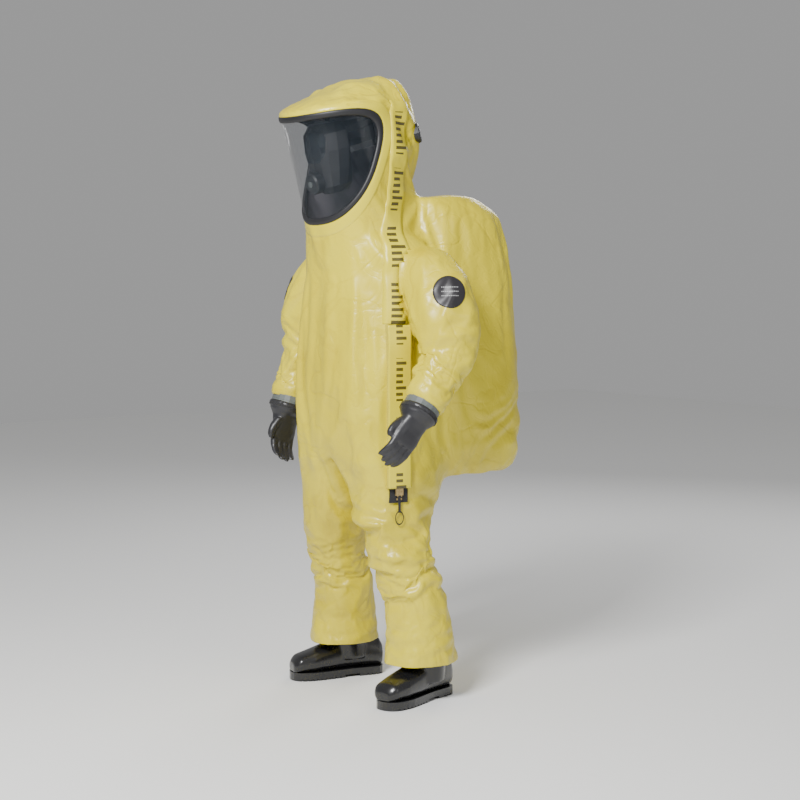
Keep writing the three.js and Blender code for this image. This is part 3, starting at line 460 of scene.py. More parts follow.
# Chest: one soft sag line under the hood, and slanting pulls towards the zip.
front = ramp(-skin[:, 1], 0.16, 0.20) * (np.abs(skin[:, 0]) < 0.22)
shove += front * 0.006 * np.exp(-((skin[:, 2] - 1.355 - 0.03 * coarse) / 0.014) ** 2)
shove -= front * 0.006 * np.exp(-((skin[:, 2] - 1.318 - 0.03 * coarse) / 0.016) ** 2)

# Seat the hood on the visor's cylinder.
to_axis = np.stack([hood_x, hood_v - visor_axis], 1) / np.maximum(from_bend_axis, 1e-6)[:, None]
seat = np.where(on_head, 1 - ramp(outside_visor, 0.012, 0.060), 0)
pull = seat * (visor_radius + 0.0035 - from_bend_axis)
moved = skin + normals_of(garment.data) * shove[:, None]
moved += pull[:, None] * (to_axis[:, :1] * hood_across + to_axis[:, 1:] * hood_back)
set_points(garment.data, moved)

# The laminate is then let hang: cloth a little larger than its body buckles into the folds that
# a stiff coated suit takes, held at the visor, the hems and the cuffs.
drape_slack = 0.055
furthest_fold = 0.034
hung = points_of(garment.data)
held_share = np.maximum.reduce([seat, ramp(-skin[:, 2], -0.15, -0.125), 0.6 * ramp(-skin[:, 2], -0.33, -0.25),
                                ramp(hood_w, 0.37, 0.40)])
for side, name in ((1, "left"), (-1, "right")):
    near = (far_from(hung, [elbows[name], wrists[name]]) < 0.10) & (side * hung[:, 0] > 0.22)
    held_share = np.maximum(held_share, near * ramp((hung - elbows[name]) @ forearms[name], 0.150, 0.175))


def draped():
    quads = [list(p.vertices) for p in garment.data.polygons]
    body = mesh_object("wearer_stop", hung - normals_of(garment.data) * 0.016, quads)
    body.modifiers.new("stop", "COLLISION")
    body.collision.thickness_outer = 0.004
    held = garment.vertex_groups.new(name="held")
    for index in np.nonzero(held_share > 0.02)[0]:
        held.add([int(index)], float(held_share[index]), "REPLACE")
    cloth = garment.modifiers.new("drape", "CLOTH")
    cloth.settings.quality = 4
    cloth.settings.mass = 0.12
    cloth.settings.tension_stiffness = 60
    cloth.settings.compression_stiffness = 60
    cloth.settings.shear_stiffness = 20
    cloth.settings.bending_stiffness = 3.0
    cloth.settings.vertex_group_mass = "held"
    cloth.settings.shrink_min = -drape_slack
    cloth.settings.use_pressure = True
    cloth.settings.uniform_pressure_force = 0.6
    cloth.collision_settings.distance_min = 0.003
    cloth.point_cache.frame_start, cloth.point_cache.frame_end = 1, 24
    for step in range(1, 25):
        bpy.context.scene.frame_set(step)
    evaluated = garment.evaluated_get(bpy.context.evaluated_depsgraph_get())
    after = points_of(evaluated.data)
    garment.modifiers.clear()
    bpy.data.objects.remove(body)
    bpy.context.scene.frame_set(1)
    return after


fall = draped() - hung
length = np.linalg.norm(fall, axis=1, keepdims=True)
set_points(garment.data, hung + fall * np.minimum(1, furthest_fold / np.maximum(length, 1e-9)))

# The zip is welded on flat, so the garment stays behind its tape from the thigh to the chest.
zip_lean = math.radians(13)
zip_across = np.array([math.sin(zip_lean), math.cos(zip_lean), 0])
zip_out = np.array([math.cos(zip_lean), -math.sin(zip_lean), 0])
zip_foot = np.array([0.2295, -0.058 + depth_shift, 0.6175])
settled = points_of(garment.data)
from_zip = settled - zip_foot
beside_zip = 1 - ramp(np.abs(from_zip @ zip_across), 0.046, 0.078)
along_zip = ramp(settled[:, 2], 0.49, 0.54) * (1 - ramp(settled[:, 2], 1.15, 1.19))
proud = np.maximum(from_zip @ zip_out + 0.002, 0)
off_arm = (far_from(settled, limb_lines["left"]) > 0.097) & (settled[:, 0] > 0.12) & (proud < 0.045)
settled -= np.outer(beside_zip * along_zip * off_arm * proud, zip_out)

# The flank and the sleeve beside it keep to their own sides of the shoulder cut below the armpit.
shoulder_cut = 0.228
arm_gap = 0.2335          # between the flank and the inner side of the sleeve, before they hang
for side in (1, -1):
    below_armpit = (skin[:, 2] > 0.84) & (skin[:, 2] < 1.19)
    flank = below_armpit & (side * skin[:, 0] > 0.12) & (side * skin[:, 0] < arm_gap)
    settled[flank, 0] = side * np.minimum(side * settled[flank, 0], shoulder_cut - 0.0015)
    inner_sleeve = below_armpit & (side * skin[:, 0] >= arm_gap)
    settled[inner_sleeve, 0] = side * np.maximum(side * settled[inner_sleeve, 0], shoulder_cut + 0.0015)
set_points(garment.data, settled)


# The modifiers' result in place of the mesh itself.
def applied(made):
    evaluated = made.evaluated_get(bpy.context.evaluated_depsgraph_get())
    mesh = bpy.data.meshes.new_from_object(evaluated)
    made.modifiers.clear()
    made.data = mesh


relaxed(garment.data, 1, 0.3)
garment.modifiers.new("fine", "SUBSURF").levels = 1
applied(garment)

# Openings and joints: hems and cuffs are cut square and turned in, the visor's hole is cleared,
# and the skin is divided where the shoulders and elbows bend.
shoulder_bend_end = 0.2415
hem_height = 0.119
sleeve_split_rise = 0.088      # the lower sleeve piece starts this far over the elbow's axis
lining_inset = 0.0032
cut = bmesh.new()
cut.from_mesh(garment.data)


def cut_at(place, normal, near, drop=False):
    place, normal = Vector(place), Vector(normal)
    faces = [f for f in cut.faces if near(f.calc_center_median())]
    around = list({v for f in faces for v in f.verts}) + list({e for f in faces for e in f.edges}) + faces
    bmesh.ops.bisect_plane(cut, geom=around, plane_co=place, plane_no=normal, dist=1e-5)
    if drop:
        beyond = [f for f in cut.faces if near(f.calc_center_median())
                  and (f.calc_center_median() - place).dot(normal) > 0]
        bmesh.ops.delete(cut, geom=beyond, context="FACES")


cut_at((0, 0, hem_height), (0, 0, -1), lambda p: p.z < 0.2, drop=True)
for side, name in ((1, "left"), (-1, "right")):
    end = Vector(wrists[name])
    cut_at(end, forearms[name], lambda p: (p - end).length < 0.1, drop=True)
    cut_at((side * shoulder_cut, 0, 0), (side, 0, 0),
           lambda p: abs(abs(p.x) - shoulder_cut) < 0.02 and p.z > 1.12 and p.x * side > 0)
    elbow_cut = elbows[name][2] + sleeve_split_rise
    cut_at((0, 0, elbow_cut), (0, 0, 1),
           lambda p: p.x * side > shoulder_cut and abs(p.z - elbow_cut) < 0.02)


def offset_at(p):
    local = np.array(p) - hood_origin
    x, v, w = local @ hood_across, local @ hood_back, local @ hood_up
    reach = math.hypot(x, v - visor_axis)
    if w < 0.0 or not 0.14 < reach < 0.21:
        return 1
    return float(visor_offset(np.array([x]), np.array([v]), np.array([w]))[0])


hole = [f for f in cut.faces if f.calc_center_median().z > 1.44 and f.calc_center_median().y < 0.1
        and offset_at(f.calc_center_median()) < 0.003]
bmesh.ops.delete(cut, geom=hole, context="FACES")
for turn_in, middle in [(lambda p: p.z < 0.125, None)] + [
        (lambda p, e=Vector(wrists[n]): (p - e).length < 0.09, Vector(wrists[n])) for n in wrists]:
    rim = [e for e in cut.edges if e.is_boundary and all(turn_in(v.co) for v in e.verts)]
    for step in range(2):
        grown = bmesh.ops.extrude_edge_only(cut, edges=rim)["geom"]
        rim = [g for g in grown if isinstance(g, bmesh.types.BMEdge)]
        for corner in {v for e in rim for v in e.verts}:
            if middle is None:
                side = 1 if corner.co.x > 0 else -1
                ankle_middle = Vector((side * 0.205, 0.052 + depth_shift, corner.co.z))
                inward = (ankle_middle - corner.co).normalized()
                up = Vector((0, 0, 1))
            else:
                inward = (middle - corner.co).normalized()
                up = Vector(-forearms["left" if middle.x > 0 else "right"])
            corner.co += inward * (0.0035 if step == 0 else 0.0005) + up * (0 if step == 0 else 0.022)
cut.normal_update()
cut.to_mesh(garment.data)
cut.free()
whole_normals = normals_of(garment.data)
whole_points = points_of(garment.data)


def piece_of(name, chosen):
    faces = [list(p.vertices) for p, wanted in zip(garment.data.polygons, chosen) if wanted]
    used = np.unique(np.concatenate([np.array(f) for f in faces]))
    renumber = np.full(len(whole_points), -1)
    renumber[used] = np.arange(len(used))
    made = mesh_object(name, whole_points[used], [[int(renumber[i]) for i in f] for f in faces])
    made.data.shade_smooth()
    made.data.normals_split_custom_set_from_vertices([tuple(n) for n in whole_normals[used]])
    return made


centres = np.empty(len(garment.data.polygons) * 3)
garment.data.polygons.foreach_get("center", centres)
centres = centres.reshape(-1, 3)
taken = np.zeros(len(centres), bool)
sleeves = {}
for side, name in ((1, "left"), (-1, "right")):
    reach = far_from(centres, limb_lines[name])
    on_arm = (side * centres[:, 0] > shoulder_cut) & (reach < 0.125) & (centres[:, 2] > 0.85)
    lower = on_arm & (centres[:, 2] < elbows[name][2] + sleeve_split_rise)
    sleeves[name, "upper"] = piece_of(f"{name}_sleeve_top", on_arm & ~lower)
    sleeves[name, "lower"] = piece_of(f"{name}_sleeve_end", lower)
    taken |= on_arm
envelope = piece_of("garment_envelope", ~taken)
# The hood has its own dark grey lining just inside the laminate, which shows through the visor: painted shade
# of the hood's inside.
lining = piece_of("hood_lining", ~taken & (centres[:, 2] > 1.36) & (centres[:, 1] < 0.14))
set_points(lining.data, points_of(lining.data) - lining_inset * normals_of(lining.data))
bpy.data.objects.remove(garment)

laminate = Finish("coated_laminate", Roughness=0.36, Coat_Weight=0.25, Coat_Roughness=0.22,
                  Specular_IOR_Level=0.5)
laminate_place = laminate.place()
mottled = laminate.node("TexNoise", {}, 0, Vector=laminate_place, Scale=2.6, Detail=3.0)
grained = laminate.node("TexNoise", {}, 0, Vector=laminate_place, Scale=160.0, Detail=2.0)
fold_noise = laminate.node("TexNoise", {}, 0, Vector=laminate_place, Scale=7.0, Detail=2.0, Distortion=0.7)
small_noise = laminate.node("TexNoise", {}, 0, Vector=laminate_place, Scale=18.0, Detail=2.0, Distortion=0.5)
crease_grooves_and_shade = laminate.node("MapRange", {"interpolation_type": "SMOOTHSTEP"}, 0, i0=abs(fold_noise - 0.5),
                        i1=0.0, i2=0.055)
small_creases = laminate.node("MapRange", {"interpolation_type": "SMOOTHSTEP"}, 0, i0=abs(small_noise - 0.5),
                              i1=0.0, i2=0.07)
# Base colour: a random mottled tone, and a little darker along the crease grooves, which is painted shade in
# the creases.
laminate.feed("Base Color", laminate.node(
    "ValToRGB", {"stops": [(0.30, (0.54, 0.43, 0.006, 1)), (0.52, (0.67, 0.555, 0.012, 1)),
                           (0.74, (0.76, 0.65, 0.024, 1))]}, 0, Fac=mottled * 0.88 + crease_grooves_and_shade * 0.07))
laminate.feed("Roughness", 0.30 + mottled * 0.12 + grained * 0.06)
laminate.feed("Normal", laminate.node(
    "Bump", {}, 0, Strength=0.55, Distance=0.0035,
    Height=crease_grooves_and_shade * 0.42 + small_creases * 0.20 + mottled * 0.8 + grained * 0.02))

# Dark grey with a little random tone: painted shade inside the hood.
shaded_inner_face = Finish("painted_shade_inner_face", Roughness=0.7)
inner_tone = shaded_inner_face.node("TexNoise", {}, 0, Vector=shaded_inner_face.place(), Scale=12.0, Detail=2.0)
shaded_inner_face.feed("Base Color", shaded_inner_face.node(
    "ValToRGB", {"stops": [(0.3, (0.075, 0.068, 0.078, 1)), (0.7, (0.13, 0.12, 0.135, 1))]}, 0,
    Fac=inner_tone))
lining.data.materials.append(shaded_inner_face.material)
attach(lining, "suit")

for made in (envelope, *sleeves.values()):
    made.data.materials.append(laminate.material)
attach(envelope, "suit")
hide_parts("torso_shell", "hood_shell", "backpack_shell", "left_leg", "right_leg")
for side, name in ((1, "left"), (-1, "right")):
    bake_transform(sleeves[name, "upper"], "suit", f"{name}_upper_arm",
             start=(side * shoulder_cut, 0, 1.3), end=(side * shoulder_bend_end, 0, 1.3))
    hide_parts(f"{name}_sleeve_upper")
    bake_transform(sleeves[name, "lower"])
    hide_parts(f"{name}_sleeve_lower")

# ---------------------------------------------------------------- visor
# Wide clear sheet bent round the front of the hood, held in a black rubber gasket, with a smooth
# welded panel of laminate round it.
visor_turns = 96


def visor_point(turn, offset, share, radius):
    c, s = math.cos(turn), math.sin(turn)
    reach_share = (abs(c) ** 3 + abs(s) ** 3) ** (-1 / 3)
    rise = (visor_half_height + offset) * s * reach_share * share
    reach = (visor_half_arc + offset + visor_taper * rise) * c * reach_share
    bend = reach * share / visor_radius
    return (hood_origin + radius * math.sin(bend) * hood_across
            + (visor_axis - radius * math.cos(bend)) * hood_back + (visor_middle + rise) * hood_up)


# A skin through rows of points; the last point of each row joins its first where it is a ring.
def woven(name, rows, closed=True, thick=0.0, capped=False):
    count = len(rows[0])
    points = np.array(rows).reshape(-1, 3)
    faces = []
    for r in range(len(rows) - 1):
        for i in range(count if closed else count - 1):
            a, b = r * count + i, r * count + (i + 1) % count
            faces.append([a, b, b + count, a + count])
    if capped:
        faces.append(list(reversed(range(count))))
    made = mesh_object(name, points, faces)
    if thick:
        body = made.modifiers.new("thickness", "SOLIDIFY")
        body.thickness = thick
        body.offset = 0
        applied(made)
    made.data.shade_smooth()
    return made


turns = [2 * math.pi * (i + 0.5) / visor_turns for i in range(visor_turns)]
lens_rows = [[visor_point(t, 0, share, visor_radius + 0.001) for t in turns]
             for share in (0.03, 0.2, 0.4, 0.6, 0.8, 0.93, 1.0)]
visor_pane = woven("visor_pane", lens_rows, thick=0.0018, capped=True)
clear_sheet = Finish("clear_sheet", Base_Color=(0.030, 0.042, 0.056, 1), Roughness=0.03, Alpha=0.14,
                     IOR=1.45, Coat_Weight=1.0, Coat_Roughness=0.02)
smear = clear_sheet.node("TexNoise", {}, 0, Vector=clear_sheet.place(), Scale=9.0, Detail=4.0)
clear_sheet.feed("Roughness", 0.02 + smear * 0.05)
visor_pane.data.materials.append(clear_sheet.material)
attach(visor_pane, "suit")
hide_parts("visor_lens")

gasket_section = [(-0.009, -0.0005), (-0.008, 0.0045), (-0.002, 0.0065), (0.005, 0.0065), (0.0095, 0.0045),
                  (0.0105, -0.001), (0.0105, -0.004), (-0.009, -0.004), (-0.009, -0.0005)]
gasket = woven("visor_frame", [[visor_point(t, offset, 1, visor_radius + 0.001 + height) for t in turns]
                               for offset, height in gasket_section])
gasket_rubber = Finish("gasket_rubber", Base_Color=(0.012, 0.012, 0.014, 1), Roughness=0.45)
pores = gasket_rubber.node("TexNoise", {}, 0, Vector=gasket_rubber.place(), Scale=420.0, Detail=2.0)
gasket_rubber.feed("Normal", gasket_rubber.node("Bump", {}, 0, Strength=0.2, Distance=0.0004, Height=pores))
gasket_rubber.feed("Roughness", 0.38 + pores * 0.2)
gasket.data.materials.append(gasket_rubber.material)
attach(gasket, "suit")
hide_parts("visor_gasket")


# Smooth panel round the gasket, lying on the hood.
envelope_tree = BVHTree.FromPolygons([v.co for v in envelope.data.vertices],
                                     [tuple(p.vertices) for p in envelope.data.polygons])


def lying(point, inward, lift, fallback):
    inward = Vector(inward).normalized()
    hit, normal, _, _ = envelope_tree.ray_cast(Vector(point) - inward * 0.03, inward, 0.09)
    if hit is None or (hit - Vector(fallback)).length > 0.014:
        return np.array(fallback)
    return np.array(hit - inward * lift)


panel_rows = []
for offset, lift in ((0.0085, -0.001), (0.0095, 0.0016), (0.020, 0.0018), (0.030, 0.0018), (0.040, 0.0018),
                     (0.0465, 0.0016), (0.0480, -0.0012)):
    row = []
    for t in turns:
        reach = offset * (1 - 0.5 * max(0, math.sin(t)) ** 2) if offset > 0.01 else offset
        point = visor_point(t, reach, 1, visor_radius + 0.0035 + lift)
        row.append(lying(point, visor_point(t, reach, 1, 0.02) - point, lift, point))
    panel_rows.append(row)
visor_panel = woven("visor_panel", panel_rows)
relaxed(visor_panel.data, 2, 0.3)
smooth_laminate = Finish("smooth_laminate", Roughness=0.30, Coat_Weight=0.3, Coat_Roughness=0.18)
smooth_tone = smooth_laminate.node("TexNoise", {}, 0, Vector=smooth_laminate.place(), Scale=3.0, Detail=2.0)
smooth_laminate.feed("Base Color", smooth_laminate.node(
    "ValToRGB", {"stops": [(0.3, (0.66, 0.55, 0.012, 1)), (0.7, (0.76, 0.65, 0.024, 1))]}, 0,
    Fac=smooth_tone))
smooth_laminate.feed("Normal", smooth_laminate.node("Bump", {}, 0, Strength=0.3, Distance=0.002,
                                                    Height=smooth_tone))
visor_panel.data.materials.append(smooth_laminate.material)
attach(visor_panel, "suit")
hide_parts("visor_surround")

# ---------------------------------------------------------------- zip cover
# Wide strip of laminate over the gas-tight zip: a loose flap over the chain, and a welded band
# that carries it on over the shoulder and up the side of the hood. Plain printed dashes on both.
flap_width = 0.076
band_bottom, band_top = 1.153, 1.815


def band_line(z):
    return float(np.interp(z, (1.15, 1.30, 1.42, 1.52, 1.66, 1.83),
                           (-0.060, -0.052, -0.040, -0.012, -0.008, 0.0))) + depth_shift


def printed(made, rows, columns, length):
    layer = made.data.uv_layers.new(name="strip")
    for loop in made.data.loops:
        row, column = divmod(loop.vertex_index, columns)
        layer.data[loop.index].uv = (column / (columns - 1), length * row / (rows - 1))


across_steps = [-0.038, -0.0372, -0.026, -0.013, 0, 0.013, 0.026, 0.0372, 0.038]
band_rows = []
for z in np.linspace(band_bottom, band_top, 110):
    row = []
    for index, across in enumerate(across_steps):
        lift = -0.002 if index in (0, len(across_steps) - 1) else 0.0028
        point = (0.30, band_line(z) + across, z)
        hit, normal, _, _ = envelope_tree.ray_cast(Vector(point), Vector((-1, 0, 0)), 0.3)
        hit = hit if hit is not None else Vector((0.2, point[1], z))
        normal = normal if normal is not None else Vector((1, 0, 0))
        row.append(np.array(hit + normal * lift))
    band_rows.append(row)
welded_band = woven("welded_band", band_rows, closed=False)
printed(welded_band, len(band_rows), len(across_steps), band_top - band_bottom)


def on_zip(across, up, out):
    return zip_foot + across * zip_across + np.array([0, 0, up]) + out * zip_out


flap_rows = []
for up in np.linspace(0.044, 0.532, 70):
    wave = 0.0012 * math.sin(up * 31) + 0.0008 * math.sin(up * 67 + 1)
    flap_rows.append([on_zip(across, up, 0.0102 + wave + 0.0012 * math.cos(across * 60))
                      for across in np.linspace(-0.038, 0.038, 13)])
zip_flap = woven("zip_flap", flap_rows, closed=False, thick=0.0022)
zip_flap_uv = zip_flap.data.uv_layers.new(name="strip")
for loop in zip_flap.data.loops:
    local = np.array(zip_flap.data.vertices[loop.vertex_index].co) - zip_foot
    zip_flap_uv.data[loop.index].uv = (local @ zip_across / flap_width + 0.5, local[2] + 0.03)

marked_laminate = Finish("marked_laminate", Roughness=0.38, Coat_Weight=0.15, Coat_Roughness=0.25)
strip_place = marked_laminate.node("TexCoord", None, 2)
across_share = marked_laminate.node("SeparateXYZ", None, 0, Vector=strip_place)
up_place = Value(across_share.tree, across_share.socket.node.outputs[1])
in_word = up_place.wrapped(0.168) < 0.128
in_bar = up_place.wrapped(0.0185) < 0.0095
in_width = abs(across_share - 0.47) < 0.145
in_long = up_place.wrapped(0.074) < 0.0095
in_tall = abs(across_share - 0.55) < 0.215
dashes = (in_word * in_bar * in_width + in_word * in_long * in_tall) > 0.5
strip_tone = marked_laminate.node("TexNoise", {}, 0, Vector=marked_laminate.place(), Scale=7.0, Detail=3.0)
strip_paint = marked_laminate.node(
    "ValToRGB", {"stops": [(0.3, (0.64, 0.53, 0.011, 1)), (0.7, (0.74, 0.63, 0.022, 1))]}, 0, Fac=strip_tone)
marked_laminate.feed("Base Color", marked_laminate.node(
    "Mix", {"data_type": "RGBA"}, 2, i0=dashes * 0.93, i6=strip_paint, i7=(0.035, 0.028, 0.012, 1)))
marked_laminate.feed("Normal", marked_laminate.node("Bump", {}, 0, Strength=0.4, Distance=0.002,
                                                    Height=strip_tone))
for made in (welded_band, zip_flap):
    made.data.materials.append(marked_laminate.material)
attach(welded_band, "suit")
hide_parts("shoulder_flap", "hood_flap")
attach(zip_flap, "flap")
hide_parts("outer_flap")

# ---------------------------------------------------------------- gloves
# Dipped rubber gloves over a hard ring, with a rolled cuff that stands over the clamp band.
glove_rubber = Finish("glove_rubber", Base_Color=(0.016, 0.016, 0.019, 1), Roughness=0.42,
                      Coat_Weight=0.2, Coat_Roughness=0.3)
glove_grain = glove_rubber.node("TexNoise", {}, 0, Vector=glove_rubber.place(), Scale=260.0, Detail=3.0)
glove_folds = glove_rubber.node("TexNoise", {}, 0, Vector=glove_rubber.place(), Scale=38.0, Detail=2.0)
glove_rubber.feed("Roughness", 0.34 + glove_folds * 0.2)
glove_rubber.feed("Normal", glove_rubber.node("Bump", {}, 0, Strength=0.5, Distance=0.0016,
                                              Height=glove_folds + glove_grain * 0.15))
hand_tilts = {"left": (0.06, -0.6, -0.8), "right": (0, -0.22, -0.97)}
for side, name in ((1, "left"), (-1, "right")):
    along = forearms[name]
    down = np.array(hand_tilts[name]) / np.linalg.norm(hand_tilts[name])
    thick = np.array([1.0, 0, 0]) - down[0] * down
    thick /= np.linalg.norm(thick)
    broad = np.cross(thick, down)
    cuff_across = np.cross(thick, along)
    cuff_across /= np.linalg.norm(cuff_across)
    cuff_deep = np.cross(along, cuff_across)
    palm_start = wrists[name] + along * 0.0164
    rings = [oval(wrists[name] + along * d, cuff_across, cuff_deep, r, r, r, 2)
             for d, r in ((0.0145, 0.0500), (0.0150, 0.0555), (0.019, 0.0595), (0.026, 0.0600),
                          (0.032, 0.0585), (0.036, 0.0545), (0.042, 0.0530))]
    rings += [oval(palm_start + down * a, broad, thick, half, t, t, 2.4)
              for a, half, t in ((0.040, 0.044, 0.034), (0.062, 0.043, 0.025), (0.080, 0.044, 0.021),
                                 (0.096, 0.045, 0.019), (0.112, 0.043, 0.016), (0.122, 0.038, 0.013))]
    parts = [rings]
    for finger, reach in enumerate((0.052, 0.062, 0.066, 0.058)):
        place = -0.0315 + finger * 0.021
        parts.append([oval(palm_start + broad * place * (1 - 0.02 * k) - side * thick * curl + down * a,
                           broad, thick, r, r, r, 2)
                      for k, (curl, a, r) in enumerate((
                          (0.001, 0.096, 0.0112), (0.002, 0.120, 0.0114),
                          (0.007, 0.122 + reach * 0.35, 0.0108),
                          (0.017, 0.122 + reach * 0.62, 0.0108), (0.031, 0.122 + reach * 0.86, 0.0098),
                          (0.038, 0.122 + reach * 0.96, 0.006)))])
    parts.append([oval(palm_start + broad * place - side * thick * 0.010 + down * a, broad, thick, r, r, r, 2)
                  for place, a, r in ((-0.030, 0.050, 0.016), (-0.043, 0.074, 0.0145),
                                      (-0.051, 0.094, 0.0115), (-0.051, 0.108, 0.0112),
                                      (-0.049, 0.119, 0.006))])
    glove = joined(f"{name}_rubber_glove", parts)
    skinned(glove, 0.0026)
    relaxed(glove.data, 3)
    hand_points = points_of(glove.data)
    hand_points += normals_of(glove.data) * (0.0012 * ripple(hand_points, 42, 5))[:, None]
    set_points(glove.data, hand_points)
    glove.data.shade_smooth()
    glove.data.materials.append(glove_rubber.material)
    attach(glove, f"{name}_hand")
    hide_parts(f"{name}_glove")

# ---------------------------------------------------------------- boots
# Moulded rubber safety boots under the trouser hems, glossy, on a separate treaded sole.
boot_rubber = Finish("boot_rubber", Base_Color=(0.009, 0.009, 0.010, 1), Roughness=0.25,
                     Coat_Weight=0.4, Coat_Roughness=0.15)
boot_marks = boot_rubber.node("TexNoise", {}, 0, Vector=boot_rubber.place(), Scale=24.0, Detail=4.0)
boot_rubber.feed("Roughness", 0.16 + boot_marks * 0.25)
boot_rubber.feed("Normal", boot_rubber.node("Bump", {}, 0, Strength=0.25, Distance=0.0012, Height=boot_marks))
toe_out = math.radians(14.3)
sole_thick = 0.026
for side, name in ((1, "left"), (-1, "right")):
    out = np.array([math.cos(toe_out), side * math.sin(toe_out), 0])
    rear = np.array([-side * math.sin(toe_out), math.cos(toe_out), 0])
    middle = np.array([side * 0.210, 0.020 + depth_shift, 0])
    foot = [oval(middle + side * x * out + y * rear + np.array([0, 0, (sole_thick - 0.004 + top) / 2]),
                 out, (0, 0, 1), half, (top - sole_thick + 0.004) / 2, (top - sole_thick + 0.004) / 2, square)
            for y, x, half, top, square in (
                (-0.1545, -0.004, 0.026, 0.056, 2.4), (-0.147, -0.004, 0.037, 0.068, 2.4),
                (-0.1355, -0.003, 0.0445, 0.079, 2.5), (-0.0875, -0.001, 0.051, 0.092, 2.6),
                (-0.0275, 0.002, 0.048, 0.112, 2.5), (0.030, 0.004, 0.043, 0.140, 2.5),
                (0.100, 0.004, 0.040, 0.140, 2.6), (0.1355, 0.002, 0.036, 0.128, 2.6),
                (0.1545, 0.002, 0.026, 0.096, 2.4))]
    shaft = [level(z, side * 0.205 - (side * 0.008 if z > 0.2 else 0), 0.062 + y, half, depth, depth, 2)
             for z, half, y, depth in ((0.060, 0.064, 0, 0.056), (0.110, 0.064, 0, 0.062),
                                       (0.150, 0.062, -0.004, 0.062), (0.225, 0.066, -0.014, 0.062),
                                       (0.270, 0.067, -0.020, 0.064), (0.292, 0.071, -0.024, 0.068))]
    boot = joined(f"{name}_rubber_boot", [foot, shaft])
    skinned(boot, 0.004)
    relaxed(boot.data, 4)
    boot_points = points_of(boot.data)
    boot_points[:, 2] = np.maximum(boot_points[:, 2], sole_thick + 0.0004)
    set_points(boot.data, boot_points)
    boot.data.shade_smooth()
    boot.data.materials.append(boot_rubber.material)
    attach(boot, "suit")
    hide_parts(f"{name}_boot", f"{name}_boot_ring")

# ---------------------------------------------------------------- arm badges
# Round rubberised patches bonded to the upper sleeves, printed with rows of plain dashes that
# spell nothing.
badge_radius = 0.0495
badge_print = Finish("badge_print", Roughness=0.42)
badge_u = badge_print.node("SeparateXYZ", None, 0, Vector=badge_print.node("TexCoord", None, 2))
badge_v = Value(badge_u.tree, badge_u.socket.node.outputs[1])
on_row = (badge_v.wrapped(0.26) < 0.06) * (abs(badge_v) < 0.46)
on_dash = (abs(badge_u) < 0.52) * (badge_u.wrapped(0.105) < 0.075)
badge_print.feed("Base Color", badge_print.node(
    "Mix", {"data_type": "RGBA"}, 2, i0=on_row * on_dash, i6=(0.022, 0.020, 0.023, 1),
    i7=(0.30, 0.30, 0.30, 1)))
for side, name in ((1, "left"), (-1, "right")):
    sleeve_tree = BVHTree.FromPolygons([v.co for v in sleeves[name, "upper"].data.vertices],
                                       [tuple(p.vertices) for p in sleeves[name, "upper"].data.polygons])
    low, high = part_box(f"{name}_arm_badge")
    centre = (low + high) / 2
    facing = Vector((side * 0.86, -0.48, 0.1)).normalized()
    flat_u = facing.cross(Vector((0, 0, 1))).normalized()
    flat_v = flat_u.cross(facing)
    rows = []
    for radius, lift in [(r, 0.0034) for r in np.linspace(0.001, 0.0465, 13)] + [(0.0485, 0.0026),
                                                                                (badge_radius, -0.001)]:
        row = []
        for t in np.linspace(0, 2 * math.pi, 64, endpoint=False):
            point = centre + flat_u * radius * math.cos(t) + flat_v * radius * math.sin(t)
            hit, normal, _, _ = sleeve_tree.ray_cast(point + facing * 0.08, -facing, 0.2)
            row.append(np.array(hit + facing * lift) if hit is not None else np.array(point))
        rows.append(row)
    patch = woven(f"{name}_arm_patch", rows, capped=True)
    relaxed(patch.data, 3, 0.4)
    patch_place = patch.data.uv_layers.new(name="face")
    for loop in patch.data.loops:
        local = (patch.data.vertices[loop.vertex_index].co - centre) / badge_radius
        patch_place.data[loop.index].uv = (local.dot(flat_u), local.dot(flat_v))
    patch.data.materials.append(badge_print.material)
    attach(patch, f"{name}_upper_arm")
    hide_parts(f"{name}_arm_badge")

# ---------------------------------------------------------------- moulded and metal fittings
# Rings, valves, mask, zip and straps keep their made shapes; each takes the surface of its stuff.
ring_plastic = Finish("ring_plastic", Base_Color=(0.11, 0.125, 0.12, 1), Roughness=0.45)
ring_grain = ring_plastic.node("TexNoise", {}, 0, Vector=ring_plastic.place(), Scale=300.0, Detail=2.0)
ring_plastic.feed("Roughness", 0.36 + ring_grain * 0.18)
ring_plastic.feed("Normal", ring_plastic.node("Bump", {}, 0, Strength=0.15, Distance=0.0004,
                                              Height=ring_grain))
valve_plastic = Finish("valve_plastic", Base_Color=(0.014, 0.015, 0.017, 1), Roughness=0.38)
valve_grain = valve_plastic.node("TexNoise", {}, 0, Vector=valve_plastic.place(), Scale=350.0, Detail=2.0)
valve_plastic.feed("Roughness", 0.30 + valve_grain * 0.2)
valve_plastic.feed("Normal", valve_plastic.node("Bump", {}, 0, Strength=0.15, Distance=0.0004,
                                                Height=valve_grain))
zip_metal = Finish("zip_metal", Metallic=1.0, Roughness=0.3)
zip_wear = zip_metal.node("TexNoise", {}, 0, Vector=zip_metal.place(), Scale=180.0, Detail=3.0)
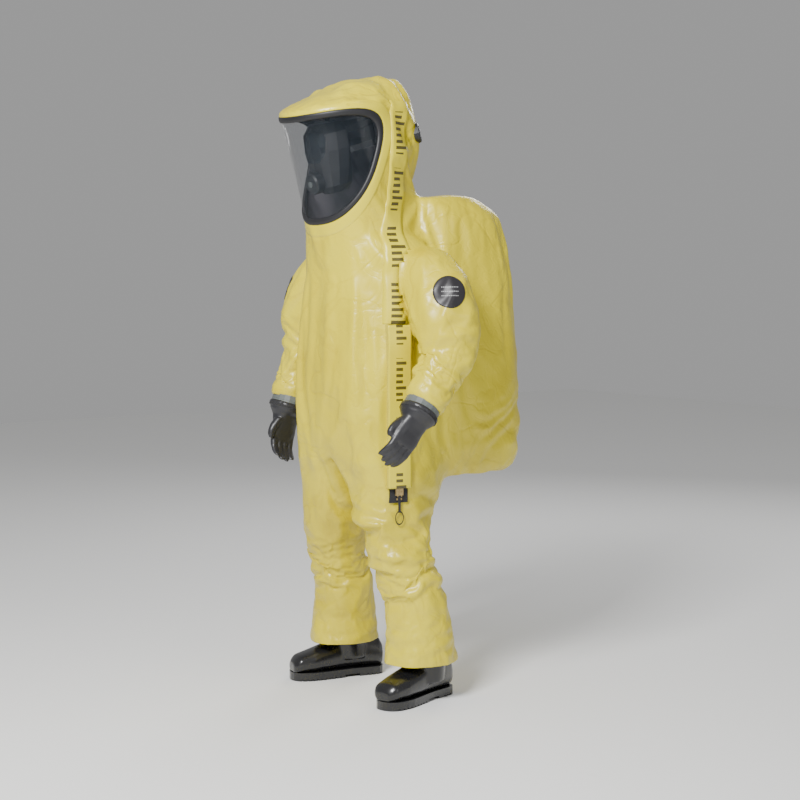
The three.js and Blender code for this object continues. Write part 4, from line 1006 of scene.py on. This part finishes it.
zip_metal.feed("Base Color", zip_metal.node(
    "ValToRGB", {"stops": [(0.3, (0.35, 0.24, 0.09, 1)), (0.7, (0.62, 0.47, 0.22, 1))]}, 0, Fac=zip_wear))
zip_metal.feed("Roughness", 0.22 + zip_wear * 0.25)
webbing = Finish("webbing", Roughness=0.85)
webbing_place = webbing.place()
webbing_weave = webbing.node("TexWave", {"wave_type": "BANDS", "bands_direction": "DIAGONAL"}, 0,
                             Vector=webbing_place, Scale=260.0, Distortion=1.0)
webbing.feed("Base Color", webbing.node(
    "ValToRGB", {"stops": [(0.2, (0.010, 0.010, 0.011, 1)), (0.8, (0.028, 0.028, 0.031, 1))]}, 0,
    Fac=webbing_weave))
webbing.feed("Normal", webbing.node("Bump", {}, 0, Strength=0.5, Distance=0.0005, Height=webbing_weave))
touch_tape = Finish("touch_tape", Roughness=0.95)
loops = touch_tape.node("TexNoise", {}, 0, Vector=touch_tape.place(), Scale=900.0, Detail=2.0)
touch_tape.feed("Base Color", touch_tape.node(
    "ValToRGB", {"stops": [(0.3, (0.46, 0.38, 0.02, 1)), (0.7, (0.68, 0.58, 0.05, 1))]}, 0, Fac=loops))
touch_tape.feed("Normal", touch_tape.node("Bump", {}, 0, Strength=0.8, Distance=0.001, Height=loops))
finishes = {"laminate": smooth_laminate, "visor": clear_sheet, "gasket": gasket_rubber,
            "glove_rubber": glove_rubber, "boot_rubber": boot_rubber, "ring_plastic": ring_plastic,
            "valve_plastic": valve_plastic, "zip_metal": zip_metal, "zip_tape": webbing,
            "touch_tape": touch_tape, "badge": badge_print, "strap": webbing}
for node_name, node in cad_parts.items():
    if node.hide_render:
        continue
    finish = finishes[node.data.materials[0].name.split(".")[0]]
    node.data.materials.clear()
    node.data.materials.append(finish.material)
    for polygon in node.data.polygons:
        polygon.material_index = 0
    rounding = node.modifiers.new("eased_edges", "BEVEL")
    rounding.width = 0.0006
    rounding.segments = 2
    rounding.limit_method = "ANGLE"
    rounding.angle_limit = math.radians(40)
